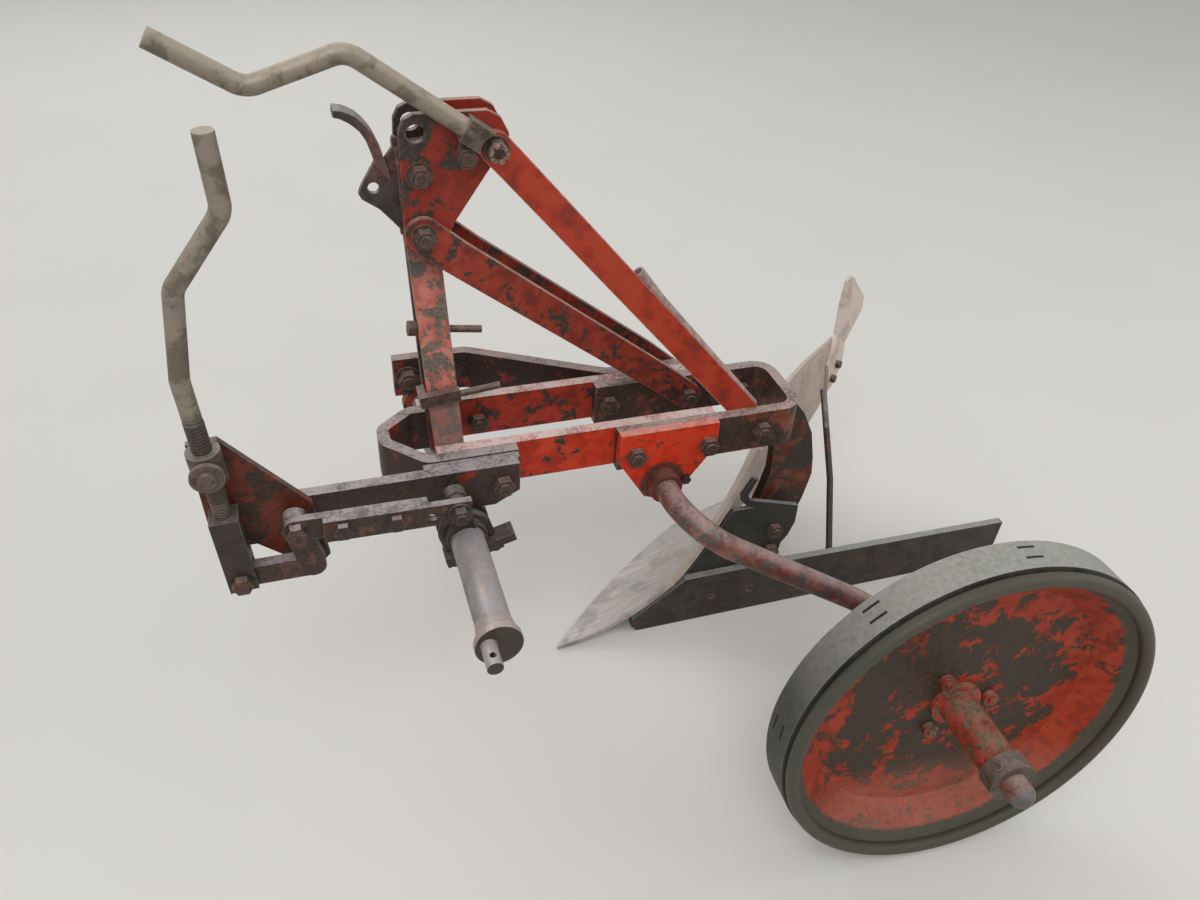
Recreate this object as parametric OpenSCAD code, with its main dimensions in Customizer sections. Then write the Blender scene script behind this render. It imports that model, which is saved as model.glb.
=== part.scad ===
// Single furrow mounted plough with two crank screws and one land wheel.
// X runs forward, Y to the left, Z up. The module frame0 puts the rail-top origin over the ground.

/* [Stance] */
// Height of the frame's top face over the ground
ride_h = 490; // [440:5:560]
// Shift that puts the middle of the whole machine over the origin, forward
shift_x = 2.5; // [-200:0.1:200]
// Shift that puts the middle of the whole machine over the origin, sideways
shift_y = -23.1; // [-200:0.1:200]

/* [Frame bars] */
// Height of the frame bars, on edge
bar_h = 60; // [50:1:75]
// Thickness of the frame bars
bar_t = 15; // [12:0.5:18]
// Length of the two straight side bars
rail_len = 373; // [340:1:420]
// Clear width between the two side bars
rail_gap = 92; // [80:1:110]
// How far the front bow reaches past the side bars
bow_reach = 66; // [50:1:90]
// How far the rear bow reaches behind the side bars
rear_reach = 127; // [110:1:160]
// Bolt diameter of the frame joints
bolt_d = 16; // [12:1:18]

/* [Hitch] */
// Length of the left hitch bar, forward of its rear end
hitch_len = 325; // [300:1:360]
// Sideways reach of the right hitch bar from its rail
hitch_out = 100; // [80:1:120]
// Outside diameter of the cross shaft
shaft_d = 42.4; // [38:0.1:50]
// Distance between the pin shoulders
shaft_span = 542; // [500:1:700]
// Diameter of the two hitch pins
pin_d = 19; // [16:0.5:28]
// Length of the hitch pins past their shoulders
pin_len = 34; // [30:1:80]
// Offset of each pin from the middle of the shaft
pin_off = 12; // [6:0.5:12]
// Running play round pins and shafts, on the radius
play = 0.05; // [0.02:0.01:0.1]
// Play round the bolts in their fixed holes, on the radius
bolt_gap = 0.3; // [0.2:0.05:0.6]
// Gap left between two seated faces
seat = 0.3; // [0.2:0.05:0.5]

/* [Mast] */
// Width of the mast uprights
up_w = 36; // [30:1:44]
// Thickness of the mast uprights
up_t = 10; // [8:0.5:12]
// Thickness of the mast's head plates, braces and strut
plate_t = 8; // [6:0.5:10]
// Height of the top link hole over the frame's top face
top_hole_z = 388; // [360:1:420]
// Diameter of the top link pin
top_pin_d = 19; // [16:0.5:22]
// Width of the braces
brace_w = 40; // [34:1:44]
// Width of the strut
strut_w = 35; // [30:1:40]
// Diameter of the mast's bolts
mast_bolt_d = 13; // [12:0.5:16]
// Diameter of the two crank rods
crank_d = 20; // [16:0.5:22]

/* [Land wheel] */
// Wheel diameter
wheel_d = 500; // [440:5:560]
// Width of the wheel's rim
rim_w = 46; // [40:1:80]
// Tilt of the wheel's axle, upwards at its outer end
camber = 3.5; // [0:0.1:6]
// Turn of the wheel's axle in plan, forwards at its outer end
toe = 3; // [0:0.1:6]
// Radius of the axle's two bends
axle_bend = 90; // [70:1:110]
// Diameter of the bent axle
axle_d = 32; // [28:0.5:36]

/* [Body] */
// Thickness of the leg
leg_t = 20; // [16:1:25]
// Thickness of the mouldboard
board_t = 7; // [5:0.5:9]
// Thickness of the landside
land_t = 12; // [9:0.5:15]
// Height of the landside
land_h = 98; // [80:1:110]
// Length of the landside
land_len = 700; // [560:5:740]

/* [Hidden] */
$fn = 48;

// Faces of the frame, from the left rail's outer face at y = 0
y_in_l = -bar_t;
y_in_r = y_in_l - rail_gap;
y_out_r = y_in_r - bar_t;
y_mid = (y_in_l + y_in_r + bar_t) / 2;
// Cross shaft axis
sh_x = rail_len - 20;
sh_z = -bar_h - shaft_d / 2 - seat - play;
spacer_t = 12;
hy_l = 2 * bar_t + spacer_t;
sh_y1 = 246;
sh_y0 = sh_y1 - shaft_span;
// Levelling linkage: both arms are one vector, so the link keeps its angle
arm_d = 14;
arm_v = [12, 67];
bc_x = rail_len + 164;
bc_z = -78;
scr_lean = 3;
tr_x = rail_len + 252.5;
tr_z = 86;
box_z = bc_z;
box_x = tr_x - (tr_z - box_z) * tan(scr_lean);
box_l = (tr_z - box_z) / cos(scr_lean);
pl_y = hy_l + 8;
scr_y = pl_y + 20;
// Bolts of the frame joints, measured from the rails' rear end and from their front end
near_bx = [121, 19];
far_bx = [119, 4];
fore_bx = rail_len - 73;
bow_bx = rail_len - 20;
leg_bx = [-45, -82];
outer_bx = [rail_len + 4, rail_len - 54];
// Height of the frame bolts, and of the leg's
fb_z = -bar_h / 2;
leg_bz = -38;
rail_back = 22;
// Mast holes, as x from the rails' front end and z
mz = top_hole_z;
h_top = [rail_len - 3, mz];
h_mid = [rail_len - 4, mz - 43];
h_low = [rail_len - 4, mz - 109];
h_strut = [rail_len - 84, mz - 17];
h_yoke = [rail_len - 53, mz - 24];
// Land wheel: its middle is the joint between hoop and bead
br_x = 80;
br_z = -80;
wh = [-209, 388, wheel_d / 2 * cos(camber) + rim_w * sin(camber) - ride_h];
// Ground under the body
gz = -ride_h;

// Straight runs reach this far into the bends they join, and a bend is this much fuller than its run
lap = 1;
swell = 0.1;

function unit(v) = v / norm(v);

module frame0() {
  translate([shift_x, shift_y, ride_h]) children();
}

// Turns a child drawn along Z so that it runs from a to b
module along(a, b) {
  d = b - a;
  translate(a) rotate([0, acos(d[2] / norm(d)), atan2(d[1], d[0])]) children();
}

module bar3(a, b, r) {
  along(a, b) cylinder(h = norm(b - a), r = r);
}

// Round bar through the points p, bent at each inner point to the radius rb
module bent_rod(p, rb, r) {
  n = len(p) - 1;
  for (i = [0:n - 1]) {
    d = unit(p[i + 1] - p[i]);
    c0 = i == 0 ? 0 : rb * tan(acos(unit(p[i] - p[i - 1]) * d) / 2);
    c1 = i == n - 1 ? 0 : rb * tan(acos(unit(p[i + 2] - p[i + 1]) * d) / 2);
    bar3(p[i] + d * (c0 - (i == 0 ? 0 : lap)), p[i + 1] - d * (c1 - (i == n - 1 ? 0 : lap)), r);
  }
  for (i = [1:n - 1]) {
    d1 = unit(p[i] - p[i - 1]);
    d2 = unit(p[i + 1] - p[i]);
    a = acos(d1 * d2);
    m = unit(d2 - d1 * (d1 * d2));
    s = p[i] - d1 * (rb * tan(a / 2));
    e1 = -m;
    e3 = cross(e1, d1);
    translate(s + m * rb)
      rotate([atan2(d1[2], e3[2]), -asin(e1[2]), atan2(e1[1], e1[0])])
        rotate_extrude(angle = a) translate([rb, 0]) circle(r = r + swell);
  }
}

// One side of a bar along the plan points p, o to the left of its middle line, bent to radius rb
function strip_side(p, rb, o) = [for (i = [0:len(p) - 1])
  let (d1 = unit(i == 0 ? p[1] - p[0] : p[i] - p[i - 1]), d2 = i == len(p) - 1 ? d1 : unit(p[i + 1] - p[i]))
  each (i == 0 || i == len(p) - 1 ? [p[i] + o * [-d1[1], d1[0]]] :
    let (a = acos(d1 * d2), k = sign(d1[0] * d2[1] - d1[1] * d2[0]), m = k * [-d1[1], d1[0]],
      c = p[i] - d1 * (rb * tan(a / 2)) + m * rb, a0 = atan2(-m[1], -m[0]))
    [for (j = [0:8]) c + (rb - k * o) * [cos(a0 + k * a * j / 8), sin(a0 + k * a * j / 8)]])];

// Round bar through the points p with ball joints at the inner points
module rod_run(p, r) {
  for (i = [0:len(p) - 2]) bar3(p[i], p[i + 1], r);
  for (i = [1:len(p) - 2]) translate(p[i]) sphere(r = r + swell / 2);
}

// Flat bar on edge along the plan points p, thickness t, from z = -h to 0
module strip(p, rb, t, h) {
  l = strip_side(p, rb, t / 2);
  r = strip_side(p, rb, -t / 2);
  translate([0, 0, -h]) linear_extrude(h)
    polygon(concat(l, [for (i = [len(r) - 1:-1:0]) r[i]]));
}

// Draws a child polygon of x and z as a plate from y0 to y0 + t
module plate_xz(y0, t) {
  translate([0, y0 + t, 0]) rotate([90, 0, 0]) linear_extrude(t) children();
}

// Hole or shank along Y
module across(x, z, d, y0, y1) {
  translate([x, y1, z]) rotate([90, 0, 0]) cylinder(h = y1 - y0, d = d);
}

module hex_y(x, z, af, y0, y1) {
  translate([x, y1, z]) rotate([90, 0, 0]) linear_extrude(y1 - y0)
    polygon([for (i = [0:5]) [af / sqrt(3) * cos(60 * i), af / sqrt(3) * sin(60 * i)]]);
}

// Bolt along Y with its nut at y1 and its head at y0
module bolt_y(x, z, d, y0, y1, k = 10) {
  across(x, z, d, y0 - 1, y1 + k + d / 5);
  hex_y(x, z, d * 1.5, y1, y1 + k);
  hex_y(x, z, d * 1.5, y0 - d * 0.7, y0);
}

// Bolt along Y with its washer and nut at y1
module washer_bolt(x, z, d, y0, y1) {
  across(x, z, d * 2.2, y1, y1 + 2.5);
  bolt_y(x, z, d, y0, y1 + 2.5, d * 0.8);
}

// Hole for a fixed bolt
module bolt_hole(x, z, d, y0, y1) {
  across(x, z, d + 2 * bolt_gap, y0 - 1, y1 + 1);
}

module side_bar_left() {
  frame0() color("#b0402c") difference() {
    translate([0, -bar_t, -bar_h]) cube([rail_len, bar_t, bar_h]);
    for (x = [near_bx[0], near_bx[1], fore_bx]) bolt_hole(x, fb_z, bolt_d, -bar_t, 0);
  }
}

module side_bar_right() {
  frame0() color("#b0402c") difference() {
    translate([-rail_back, y_out_r, -bar_h]) cube([rail_len + rail_back + 8, bar_t, bar_h]);
    for (x = [far_bx[0], far_bx[1], bow_bx]) bolt_hole(x, fb_z, bolt_d, y_out_r, y_in_r);
    bolt_hole(fore_bx, fb_z - 10, bolt_d, y_out_r, y_in_r);
  }
}

module front_bow() {
  xt = rail_len + bow_reach - bar_t / 2;
  ya = bar_t / 2 + seat;
  yb = y_in_r + bar_t / 2 + seat;
  frame0() color("#8a3a2c") difference() {
    strip([[rail_len - 99, ya], [rail_len + 13, ya], [xt, y_mid + 14], [xt, y_mid - 14], [rail_len + 21, yb],
      [rail_len - 40, yb]], 15, bar_t, bar_h);
    bolt_hole(fore_bx, fb_z, bolt_d, 0, bar_t);
    bolt_hole(bow_bx, fb_z, bolt_d, y_in_r, y_in_r + bar_t);
  }
}

module rear_bow() {
  xr = -rear_reach + bar_t / 2;
  ya = bar_t / 2 + seat;
  yb = y_in_r + bar_t / 2 + seat;
  frame0() color("#a33f2d") difference() {
    strip([[141, ya], [xr, ya], [xr, yb], [139, yb]], 24, bar_t, bar_h);
    for (x = far_bx) bolt_hole(x, fb_z, bolt_d, y_in_r, y_in_r + bar_t);
    for (x = leg_bx) bolt_hole(x, leg_bz, bolt_d, y_in_r, y_in_r + bar_t);
    for (x = [near_bx[0], near_bx[1], h_foot[0]]) bolt_hole(x, fb_z, bolt_d, 0, bar_t);
  }
}

module shaft_eye(y0) {
  across(sh_x, sh_z, shaft_d + 24, y0, y0 + bar_t);
}

module hitch_bar_left() {
  y0 = hy_l - bar_t;
  frame0() color("#4a3a34") difference() {
    union() {
      plate_xz(y0, bar_t) polygon([[rail_len - 94, 0], [rail_len - 94 + hitch_len, 0],
        [rail_len - 94 + hitch_len, -bar_h], [rail_len - 63, -bar_h], [rail_len - 94, -42]]);
      shaft_eye(y0);
    }
    across(sh_x, sh_z, shaft_d + 2 * play, y0 - 1, y0 + bar_t + 1);
    bolt_hole(fore_bx, fb_z, bolt_d, y0, hy_l);
    bolt_hole(bc_x + 8, -24, bolt_d, y0, hy_l);
  }
}

module hitch_spacer() {
  frame0() color("#5a4038") difference() {
    translate([rail_len - 98, bar_t + 2 * seat, -bar_h + 6]) cube([119, spacer_t - 3 * seat, bar_h - 8]);
    bolt_hole(fore_bx, fb_z, bolt_d, bar_t, bar_t + spacer_t);
  }
}

module hitch_bar_right() {
  ya = y_out_r - bar_t / 2 - seat;
  yb = ya - hitch_out;
  frame0() color("#7c3a2e") difference() {
    union() {
      strip([[-rail_back, ya], [112, ya], [rail_len - 80, yb], [rail_len + 23, yb]], 30, bar_t, bar_h);
      shaft_eye(yb - bar_t / 2);
    }
    across(sh_x, sh_z, shaft_d + 2 * play, yb - bar_t, yb + bar_t);
    bolt_hole(far_bx[1], fb_z, bolt_d, ya - bar_t, ya + bar_t);
    for (x = outer_bx) bolt_hole(x, fb_z, bolt_d, yb - bar_t, yb + bar_t);
  }
}

up_x = rail_len - up_w;
up_lean = 2.9;
up_y = 24;
module upright(y0) {
  // drawn for the left one, its outer face at y = 0 going up and inwards
  translate([up_x, y0, 0]) rotate([0, up_lean, 0])
    rotate([90, 0, 90]) linear_extrude(up_w)
      polygon([[-seat, -bar_h + 4], [-seat, 6], [-up_y - seat, mz - 138], [-up_y - seat, mz - 16],
        [-up_y - up_t - seat, mz - 16], [-up_y - up_t - seat, mz - 138.4], [-up_t - seat, 5.6],
        [-up_t - seat, -bar_h + 4]]);
}

module up_holes() {
  for (h = [h_low, h_mid]) bolt_hole(h[0], h[1], mast_bolt_d, -120, 20);
}

module mast_upright_left() {
  frame0() color("#93392b") difference() {
    upright(y_in_l);
    up_holes();
  }
}

module mast_upright_right() {
  frame0() color("#6e352b") difference() {
    translate([0, 2 * y_mid, 0]) mirror([0, 1, 0]) upright(y_in_l);
    up_holes();
  }
}

module head_shape() {
  difference() {
    translate([rail_len, mz]) polygon([[15, -126], [15, -12], [14, 4], [8, 15], [-2, 20], [-78, 20],
      [-92, 12], [-100, -4], [-101, -22], [-83, -36], [-39, -100], [-27, -126]]);
    translate(h_top) circle(d = top_pin_d + 0.3);
    for (h = [h_low, h_mid, h_strut, h_yoke]) translate(h) circle(d = mast_bolt_d + 2 * bolt_gap);
  }
}

hp_y = y_in_l - up_y;
hp_face = hp_y + plate_t;
module mast_plate_left() {
  frame0() color("#a83f2c") plate_xz(hp_y, plate_t) head_shape();
}

module mast_plate_right() {
  frame0() color("#8a3a2c") plate_xz(2 * y_mid - hp_face, plate_t) head_shape();
}

// Flat bar between two holes, w wide, with round ends
module eye_bar(a, b, w, d0, d1) {
  v = b - a;
  l = norm(v);
  difference() {
    union() {
      translate(a) rotate([0, 0, atan2(v[1], v[0])]) translate([0, -w / 2]) square([l, w]);
      translate(a) circle(d = w + 2 * swell);
      translate(b) circle(d = w + 2 * swell);
    }
    if (d0 > 0) translate(a) circle(d = d0);
    if (d1 > 0) translate(b) circle(d = d1);
  }
}

// Moves a child drawn along X from the hole a to the line to the hole b, both as x and z
module on_line(a, b) {
  translate([a[0], 0, a[1]]) rotate([0, -atan2(b[1] - a[1], b[0] - a[0]), 0]) children();
}

// Flat bar w wide and t thick between two holes, d[0] and d[1], its left face at ya and at yb,
// flat for e at both ends
module flat_link(a, b, ya, yb, t, w, e, d) {
  l = norm(b - a);
  y0 = min(ya, yb) - t - 1;
  y1 = max(ya, yb) + 1;
  on_line(a, b) difference() {
    intersection() {
      translate([0, 0, -w]) linear_extrude(2 * w) polygon([[-w, ya], [e, ya], [l - e, yb], [l + w, yb],
        [l + w, yb - t], [l - e, yb - t], [e, ya - t], [-w, ya - t]]);
      translate([0, y1, 0]) rotate([90, 0, 0]) linear_extrude(y1 - y0) eye_bar([0, 0], [l, 0], w, 0, 0);
    }
    for (i = [0, 1]) translate([i * l, y1, 0]) rotate([90, 0, 0])
      cylinder(h = y1 - y0, d = d[i] + 2 * bolt_gap);
  }
}

h_brace = [far_bx[1], fb_z];
h_foot = [-65, fb_z];
link_d = [mast_bolt_d, bolt_d];
module brace_left() {
  yb = y_in_r + bar_t + 2 * seat + plate_t;
  frame0() color("#a83f2c")
    flat_link(h_low, h_brace, hp_face + seat + plate_t, yb, plate_t, brace_w, 46, link_d);
}

module brace_right() {
  yb = y_out_r - bar_t - 2 * seat;
  frame0() color("#7c3a2e")
    flat_link(h_low, h_brace, 2 * y_mid - hp_face - seat, yb, plate_t, brace_w, 74, link_d);
}

module strut() {
  frame0() color("#b0402c")
    flat_link(h_strut, h_foot, hp_face + seat + plate_t, 0, plate_t, strut_w, 40, link_d);
}

// Dead tube on the strut's back
sl_d = 18;
module strut_sleeve() {
  l = norm(h_foot - h_strut);
  k = (0 - hp_face - seat - plate_t) / (l - 80);
  ys = hp_face - sl_d / 2;
  frame0() color("#6a3a30") on_line(h_strut, h_foot) difference() {
    union() {
      bar3([288, ys + k * 248, -15], [516, ys + k * 455, -11], sl_d / 2);
      bar3([238, ys + k * 198, -20], [290, ys + k * 250, -16], sl_d / 2 - 1);
    }
    bar3([230, ys + k * 190, -20.5], [262, ys + k * 222, -18], sl_d / 2 - 3.5);
  }
}

tc_a = [[rail_len + 230, -20, 493], [rail_len + 153, -20, 445], [rail_len + 59, -20, 475],
  [rail_len - 43, -20, 402]];
tc_d = unit(tc_a[2] - tc_a[3]);
yoke_w = crank_d + 6;
yoke_t = 6;
ear_proud = 0.6;
module crank_yoke() {
  frame0() color("#54403a") difference() {
    union() {
      along(tc_a[3] - tc_d * 46, tc_a[3] - tc_d * 10)
        translate([-yoke_w / 2, hp_face - tc_a[3][1] + seat + ear_proud, 0]) cube([yoke_w, 20.4, 36]);
      on_line(h_yoke, [tc_a[3][0] - 20 * tc_d[0], tc_a[3][2] - 20 * tc_d[2]]) {
        translate([0, hp_face + seat, -10]) cube([24, yoke_t, 20]);
        across(0, 0, 20 + 2 * swell, hp_face + seat, hp_face + seat + yoke_t);
      }
    }
    bar3(tc_a[3] - tc_d * 21, tc_a[3] + tc_d * 20, crank_d / 2 + play);
    bolt_hole(h_yoke[0], h_yoke[1], mast_bolt_d, hp_y, hp_face + 12);
    across(h_strut[0], h_strut[1], strut_w + 3, hp_y, hp_face + 30);
  }
}

module top_crank() {
  frame0() color("#6b5b50") bent_rod([tc_a[0], tc_a[1], tc_a[2], tc_a[3] - tc_d * 20], 26, crank_d / 2);
}

// Latch between the head plates: a holed plate and a curved handle strap on it
module latch_lever() {
  frame0() color("#4c3c36") difference() {
    union() {
      plate_xz(y_mid - 3, 6) translate([rail_len, mz]) polygon([[-18, -58], [-14, -28], [2, -22], [15, -9],
        [18, -8], [20, -12], [19, -19], [30, -34], [39, -34], [49, -50], [56, -62], [58, -68], [55, -74],
        [38, -86], [26, -100], [14, -115], [2, -100], [-6, -84]]);
      plate_xz(y_mid - 11, 22) translate([rail_len, mz]) polygon([[31, -20], [37, -5], [41, 2], [47, 10],
        [53, 16], [60, 20], [67, 23], [75, 24], [76, 17], [69, 15], [62, 11], [57, 7], [51, 1], [46, -8],
        [42, -21], [39, -33], [28, -48], [24, -53]]);
    }
    across(h_mid[0], h_mid[1], mast_bolt_d + 2 * play, y_mid - 12, y_mid + 12);
    across(rail_len + 42, mz - 62, 12, y_mid - 12, y_mid + 12);
  }
}

// Hook bolts round the near upright, left over from a missing coulter clamp
module hook_bolt(z, y0, x1) {
  xa = up_x + z * tan(up_lean);
  translate([xa - 1, y0, z]) rotate([0, 6, 0]) {
    translate([-1, -1, -8]) cube([up_w + 13, 9, 16]);
    translate([up_w + 3, -up_t - 10, -8]) cube([9, up_t + 11, 16]);
    translate([x1, 3.5, 0]) rotate([0, 90, 0]) cylinder(h = 2 - x1, d = 8.6);
  }
}

y_hk = -45;
module hook_bolts() {
  yu = y_in_l - seat;
  frame0() color("#4a423e") {
    hook_bolt(mz - 314, yu - up_y * (mz - 320) / (mz - 144) + 2.6, -50);
    rod_run([[rail_len + 18, y_hk, 155], [rail_len - 68, y_hk, 143]], 4.5);
    bar3([rail_len + 10, y_hk, 153.9], [rail_len + 19, y_hk, 155.1], 9);
  }
}

pivot_d = 18;
module trunnion_plate() {
  frame0() color("#a83f2c") difference() {
    plate_xz(hy_l + seat, plate_t - seat) translate([bc_x, 0]) polygon([[108, 100], [76, 102], [-10, -4],
      [-13, -20], [-21, -88], [-11, -98], [11, -96], [66, -46], [105, -22]]);
    across(bc_x, bc_z, pivot_d + 2 * play, hy_l - 1, hy_l + plate_t + 1);
    across(tr_x, tr_z, pivot_d + 2 * play, hy_l - 1, hy_l + plate_t + 1);
    bolt_hole(bc_x + 8, -24, bolt_d, hy_l, hy_l + plate_t);
  }
}

brk_t = 12;
module wheel_bracket() {
  frame0() color("#b0402c") difference() {
    union() {
      plate_xz(bar_t + 2 * seat, brk_t) polygon([[142, 4], [6, 4], [6, -34], [52, -100], [80, -112],
        [104, -102], [144, -38]]);
      across(br_x, br_z, axle_d + 12, bar_t + 2 * seat, bar_t + 32);
      hex_y(46, -82, 12, bar_t + brk_t, bar_t + brk_t + 7);
    }
    across(br_x, br_z, axle_d + 2 * play, bar_t - 1, bar_t + 40);
    for (x = near_bx) bolt_hole(x, fb_z, bolt_d, bar_t, bar_t + brk_t + 1);
  }
}

// Body: heights of its lower part are taken from the ground
leg_y = y_in_r - leg_t;
fy = -68 - land_t;
frog_t = 8;
// Bolts of the frog on the leg and of the landside on the frog
frog_bx = -181;
frog_bz = [166, 120];
land_bx = [-80, -150];
land_bz = 48;
land_bd = 12;
module leg() {
  frame0() color("#7c3a2e") difference() {
    plate_xz(leg_y, leg_t - seat / 2) polygon([[-26, -22], [-26, -60], [-60, -64], [-100, -70], [-138, -92],
      [-161, -125], [-170, -190], [-171, gz + 265], [-163, gz + 224], [-150, gz + 180], [-136, gz + 100],
      [-206, gz + 100], [-226, gz + 150], [-240, gz + 200], [-248, gz + 250], [-243, -205], [-231, -154],
      [-210, -112], [-170, -66], [-140, -40], [-132, -22]]);
    for (x = leg_bx) bolt_hole(x, leg_bz, bolt_d, leg_y, y_in_r);
    for (z = frog_bz) bolt_hole(frog_bx, gz + z, bolt_d, leg_y, y_in_r);
  }
}

module frog() {
  frame0() color("#4a3a34") difference() {
    union() {
      plate_xz(fy - frog_t, frog_t - seat) translate([0, gz]) polygon([[-138, 223], [-124, 228],
        [-114, 238], [-111, 252], [-127, 284], [-135, 282], [-122, 252], [-126, 242], [-138, 236],
        [-218, 210], [-219, 174], [-210, 146], [-190, 117], [-172, 92], [-160, 20], [-50, 20], [-34, 60],
        [-31, 96], [-63, 150], [-89, 205], [-101, 223]]);
      plate_xz(y_in_r, fy - frog_t - y_in_r) translate([0, gz]) polygon([[-160, 190], [-212, 176],
        [-204, 110], [-196, 20], [-70, 20], [-70, 90], [-110, 110], [-140, 130]]);
    }
    for (z = frog_bz) bolt_hole(frog_bx, gz + z, bolt_d, y_in_r, fy);
    for (x = land_bx) bolt_hole(x, gz + land_bz, land_bd, y_in_r, fy);
  }
}

module landside() {
  frame0() color("#5a4a42") difference() {
    plate_xz(fy, land_t) translate([0, gz]) polygon([[50, 0], [60, 12], [60, 29], [-14, 87],
      [-28, land_h + 1], [-137, land_h + 1], [50 - land_len, land_h - 11], [52 - land_len, 0]]);
    for (x = land_bx) bolt_hole(x, gz + land_bz, land_bd, fy, fy + land_t);
  }
}

// Mouldboard: a sixteen-point surface patch with thickness board_t, heights over the ground
mb = [[[1, -68, 98], [-45, -66, 160], [-90, -76, 250], [-127, -86, 340]],
  [[-70, -190, 50], [-108, -180, 140], [-140, -178, 256], [-178, -192, 368]],
  [[-330, -330, 20], [-345, -312, 120], [-348, -300, 230], [-330, -320, 325]],
  [[-448, -420, 170], [-462, -408, 210], [-460, -410, 255], [-445, -425, 294]]];
function bz(t) = [pow(1 - t, 3), 3 * t * pow(1 - t, 2), 3 * t * t * (1 - t), t * t * t];
function patch(g, u, v) = let (a = bz(u), b = bz(v))
  [for (k = [0:2]) sum16([for (i = [0:3]) for (j = [0:3]) a[i] * b[j] * g[i][j][k]])];
function sum16(v, i = 0) = i >= len(v) ? 0 : v[i] + sum16(v, i + 1);
function dsub(g, u, v) = unit(cross(patch(g, min(1, u + 0.01), v) - patch(g, max(0, u - 0.01), v),
  patch(g, u, min(1, v + 0.01)) - patch(g, u, max(0, v - 0.01))));

// Closed sheet over two grids of points, (nu + 1) by (nv + 1) each
module sheet(pts, nu, nv) {
  m = (nu + 1) * (nv + 1);
  w = nv + 1;
  f1 = [for (i = [0:nu - 1]) for (j = [0:nv - 1]) [i * w + j, i * w + j + 1, (i + 1) * w + j + 1]];
  f2 = [for (i = [0:nu - 1]) for (j = [0:nv - 1]) [i * w + j, (i + 1) * w + j + 1, (i + 1) * w + j]];
  g1 = [for (f = concat(f1, f2)) [m + f[2], m + f[1], m + f[0]]];
  s1 = [for (i = [0:nu - 1]) let (a = i * w, b = a + w) each [[a, b, m + b], [a, m + b, m + a]]];
  s2 = [for (i = [0:nu - 1]) let (a = i * w + nv, b = a + w) each [[a, m + b, b], [a, m + a, m + b]]];
  s3 = [for (j = [0:nv - 1]) each [[j, m + j + 1, j + 1], [j, m + j, m + j + 1]]];
  s4 = [for (j = [0:nv - 1]) let (a = nu * w + j) each [[a, a + 1, m + a + 1], [a, m + a + 1, m + a]]];
  polyhedron(points = pts, faces = concat(f1, f2, g1, s1, s2, s3, s4));
}

module shell(g, nu, nv, t) {
  top = [for (i = [0:nu]) for (j = [0:nv]) patch(g, i / nu, j / nv)];
  bot = [for (i = [0:nu]) for (j = [0:nv]) patch(g, i / nu, j / nv) + t * dsub(g, i / nu, j / nv)];
  sheet(concat(top, bot), nu, nv);
}

module mouldboard() {
  frame0() color("#6a4a3e") translate([0, 0, gz]) shell(mb, 24, 16, board_t);
}

// Share: its top edge runs along the mouldboard's lower edge
function mix(a, b, t) = a + t * (b - a);
function cut_bz(p, t) = let (a = mix(p[0], p[1], t), m = mix(p[1], p[2], t), c = mix(p[2], p[3], t),
  d = mix(a, m, t), e = mix(m, c, t)) [p[0], a, d, mix(d, e, t)];
sh_edge = cut_bz([for (i = [0:3]) mb[i][0]], 0.6);
sh_low = [[190, -63, 6.2], [101, -155, 6.2], [0, -233, 6.2], [-110, -299, 6.2]];
sh_rise = [[111, -65, 14], [46, -152, 18], [-42, -228, 20], [-150, -300, 20]];
sh_mid = [[50, -66, 54], [-12, -164, 34], [-98, -232, 38], [-204, -300, 42]];
sh = [for (i = [0:3]) [sh_low[i], sh_rise[i], sh_mid[i], sh_edge[i] + [0.25, 0, -0.35]]];
module share() {
  frame0() color("#5f554e") translate([0, 0, gz]) shell(sh, 12, 8, 6);
}

// Tail piece: lies on the mouldboard's back, then stands up past its end. Its edges are surface
// numbers of the board up to tl_join, then points over the ground
tl_l = [[0.89, 0.487], [0.866, 0.8], [0.986, 1.035]];
tl_r = [[0.922, 0.433], [1.0, 0.55], [1.06, 0.8]];
tl_join = 2;
tip_l = [[-456, -440, 358], [-470, -458, 395], [-479, -462, 402]];
tip_r = [[-518, -460, 327], [-522, -468, 351], [-486, -463, 398]];
tip_n = unit([-0.35, 0.9, 0.1]);
tail_t = 6;
tail_nu = 5;
tail_rows = 3;
function on_back(u, v, o) = patch(mb, u, v) + o * unit(cross(patch(mb, u + 0.01, v) - patch(mb, u - 0.01, v),
  patch(mb, u, v + 0.01) - patch(mb, u, v - 0.01)));
function between(p, t) = let (k = min(floor(t), len(p) - 2)) mix(p[k], p[k + 1], t - k);
function tail_uv(s, t) = mix(between(tl_l, t), between(tl_r, t), s);
function tail_row(s, k, o) = k == 0 ? on_back(tail_uv(s, tl_join)[0], tail_uv(s, tl_join)[1], o) :
  mix(tip_l[k - 1], tip_r[k - 1], s) + (o - board_t) * tip_n;
function tail_at(s, t, o) = t <= tl_join ? on_back(tail_uv(s, t)[0], tail_uv(s, t)[1], o) :
  let (k = min(floor(t - tl_join), len(tip_l) - 1))
    mix(tail_row(s, k, o), tail_row(s, k + 1, o), t - tl_join - k);
module tail_piece() {
  nv = tail_rows * (tl_join + len(tip_l));
  q = [for (i = [0:tail_nu]) for (j = [0:nv]) [i / tail_nu, j / tail_rows]];
  o = board_t + 0.5;
  frame0() color("#6a4a3e") translate([0, 0, gz])
    sheet([for (d = [0, tail_t]) for (c = q) tail_at(c[0], c[1], o + d)], tail_nu, nv);
}

stay_r = 5.5;
module stay() {
  frame0() color("#5a4038") translate([0, 0, gz])
    rod_run([[-303, fy - stay_r - seat, 58], [-303, fy - stay_r - seat, 92], [-318, -150, 190],
      [-322, -200, 262], [-346, -268, 292]], stay_r);
}

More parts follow.
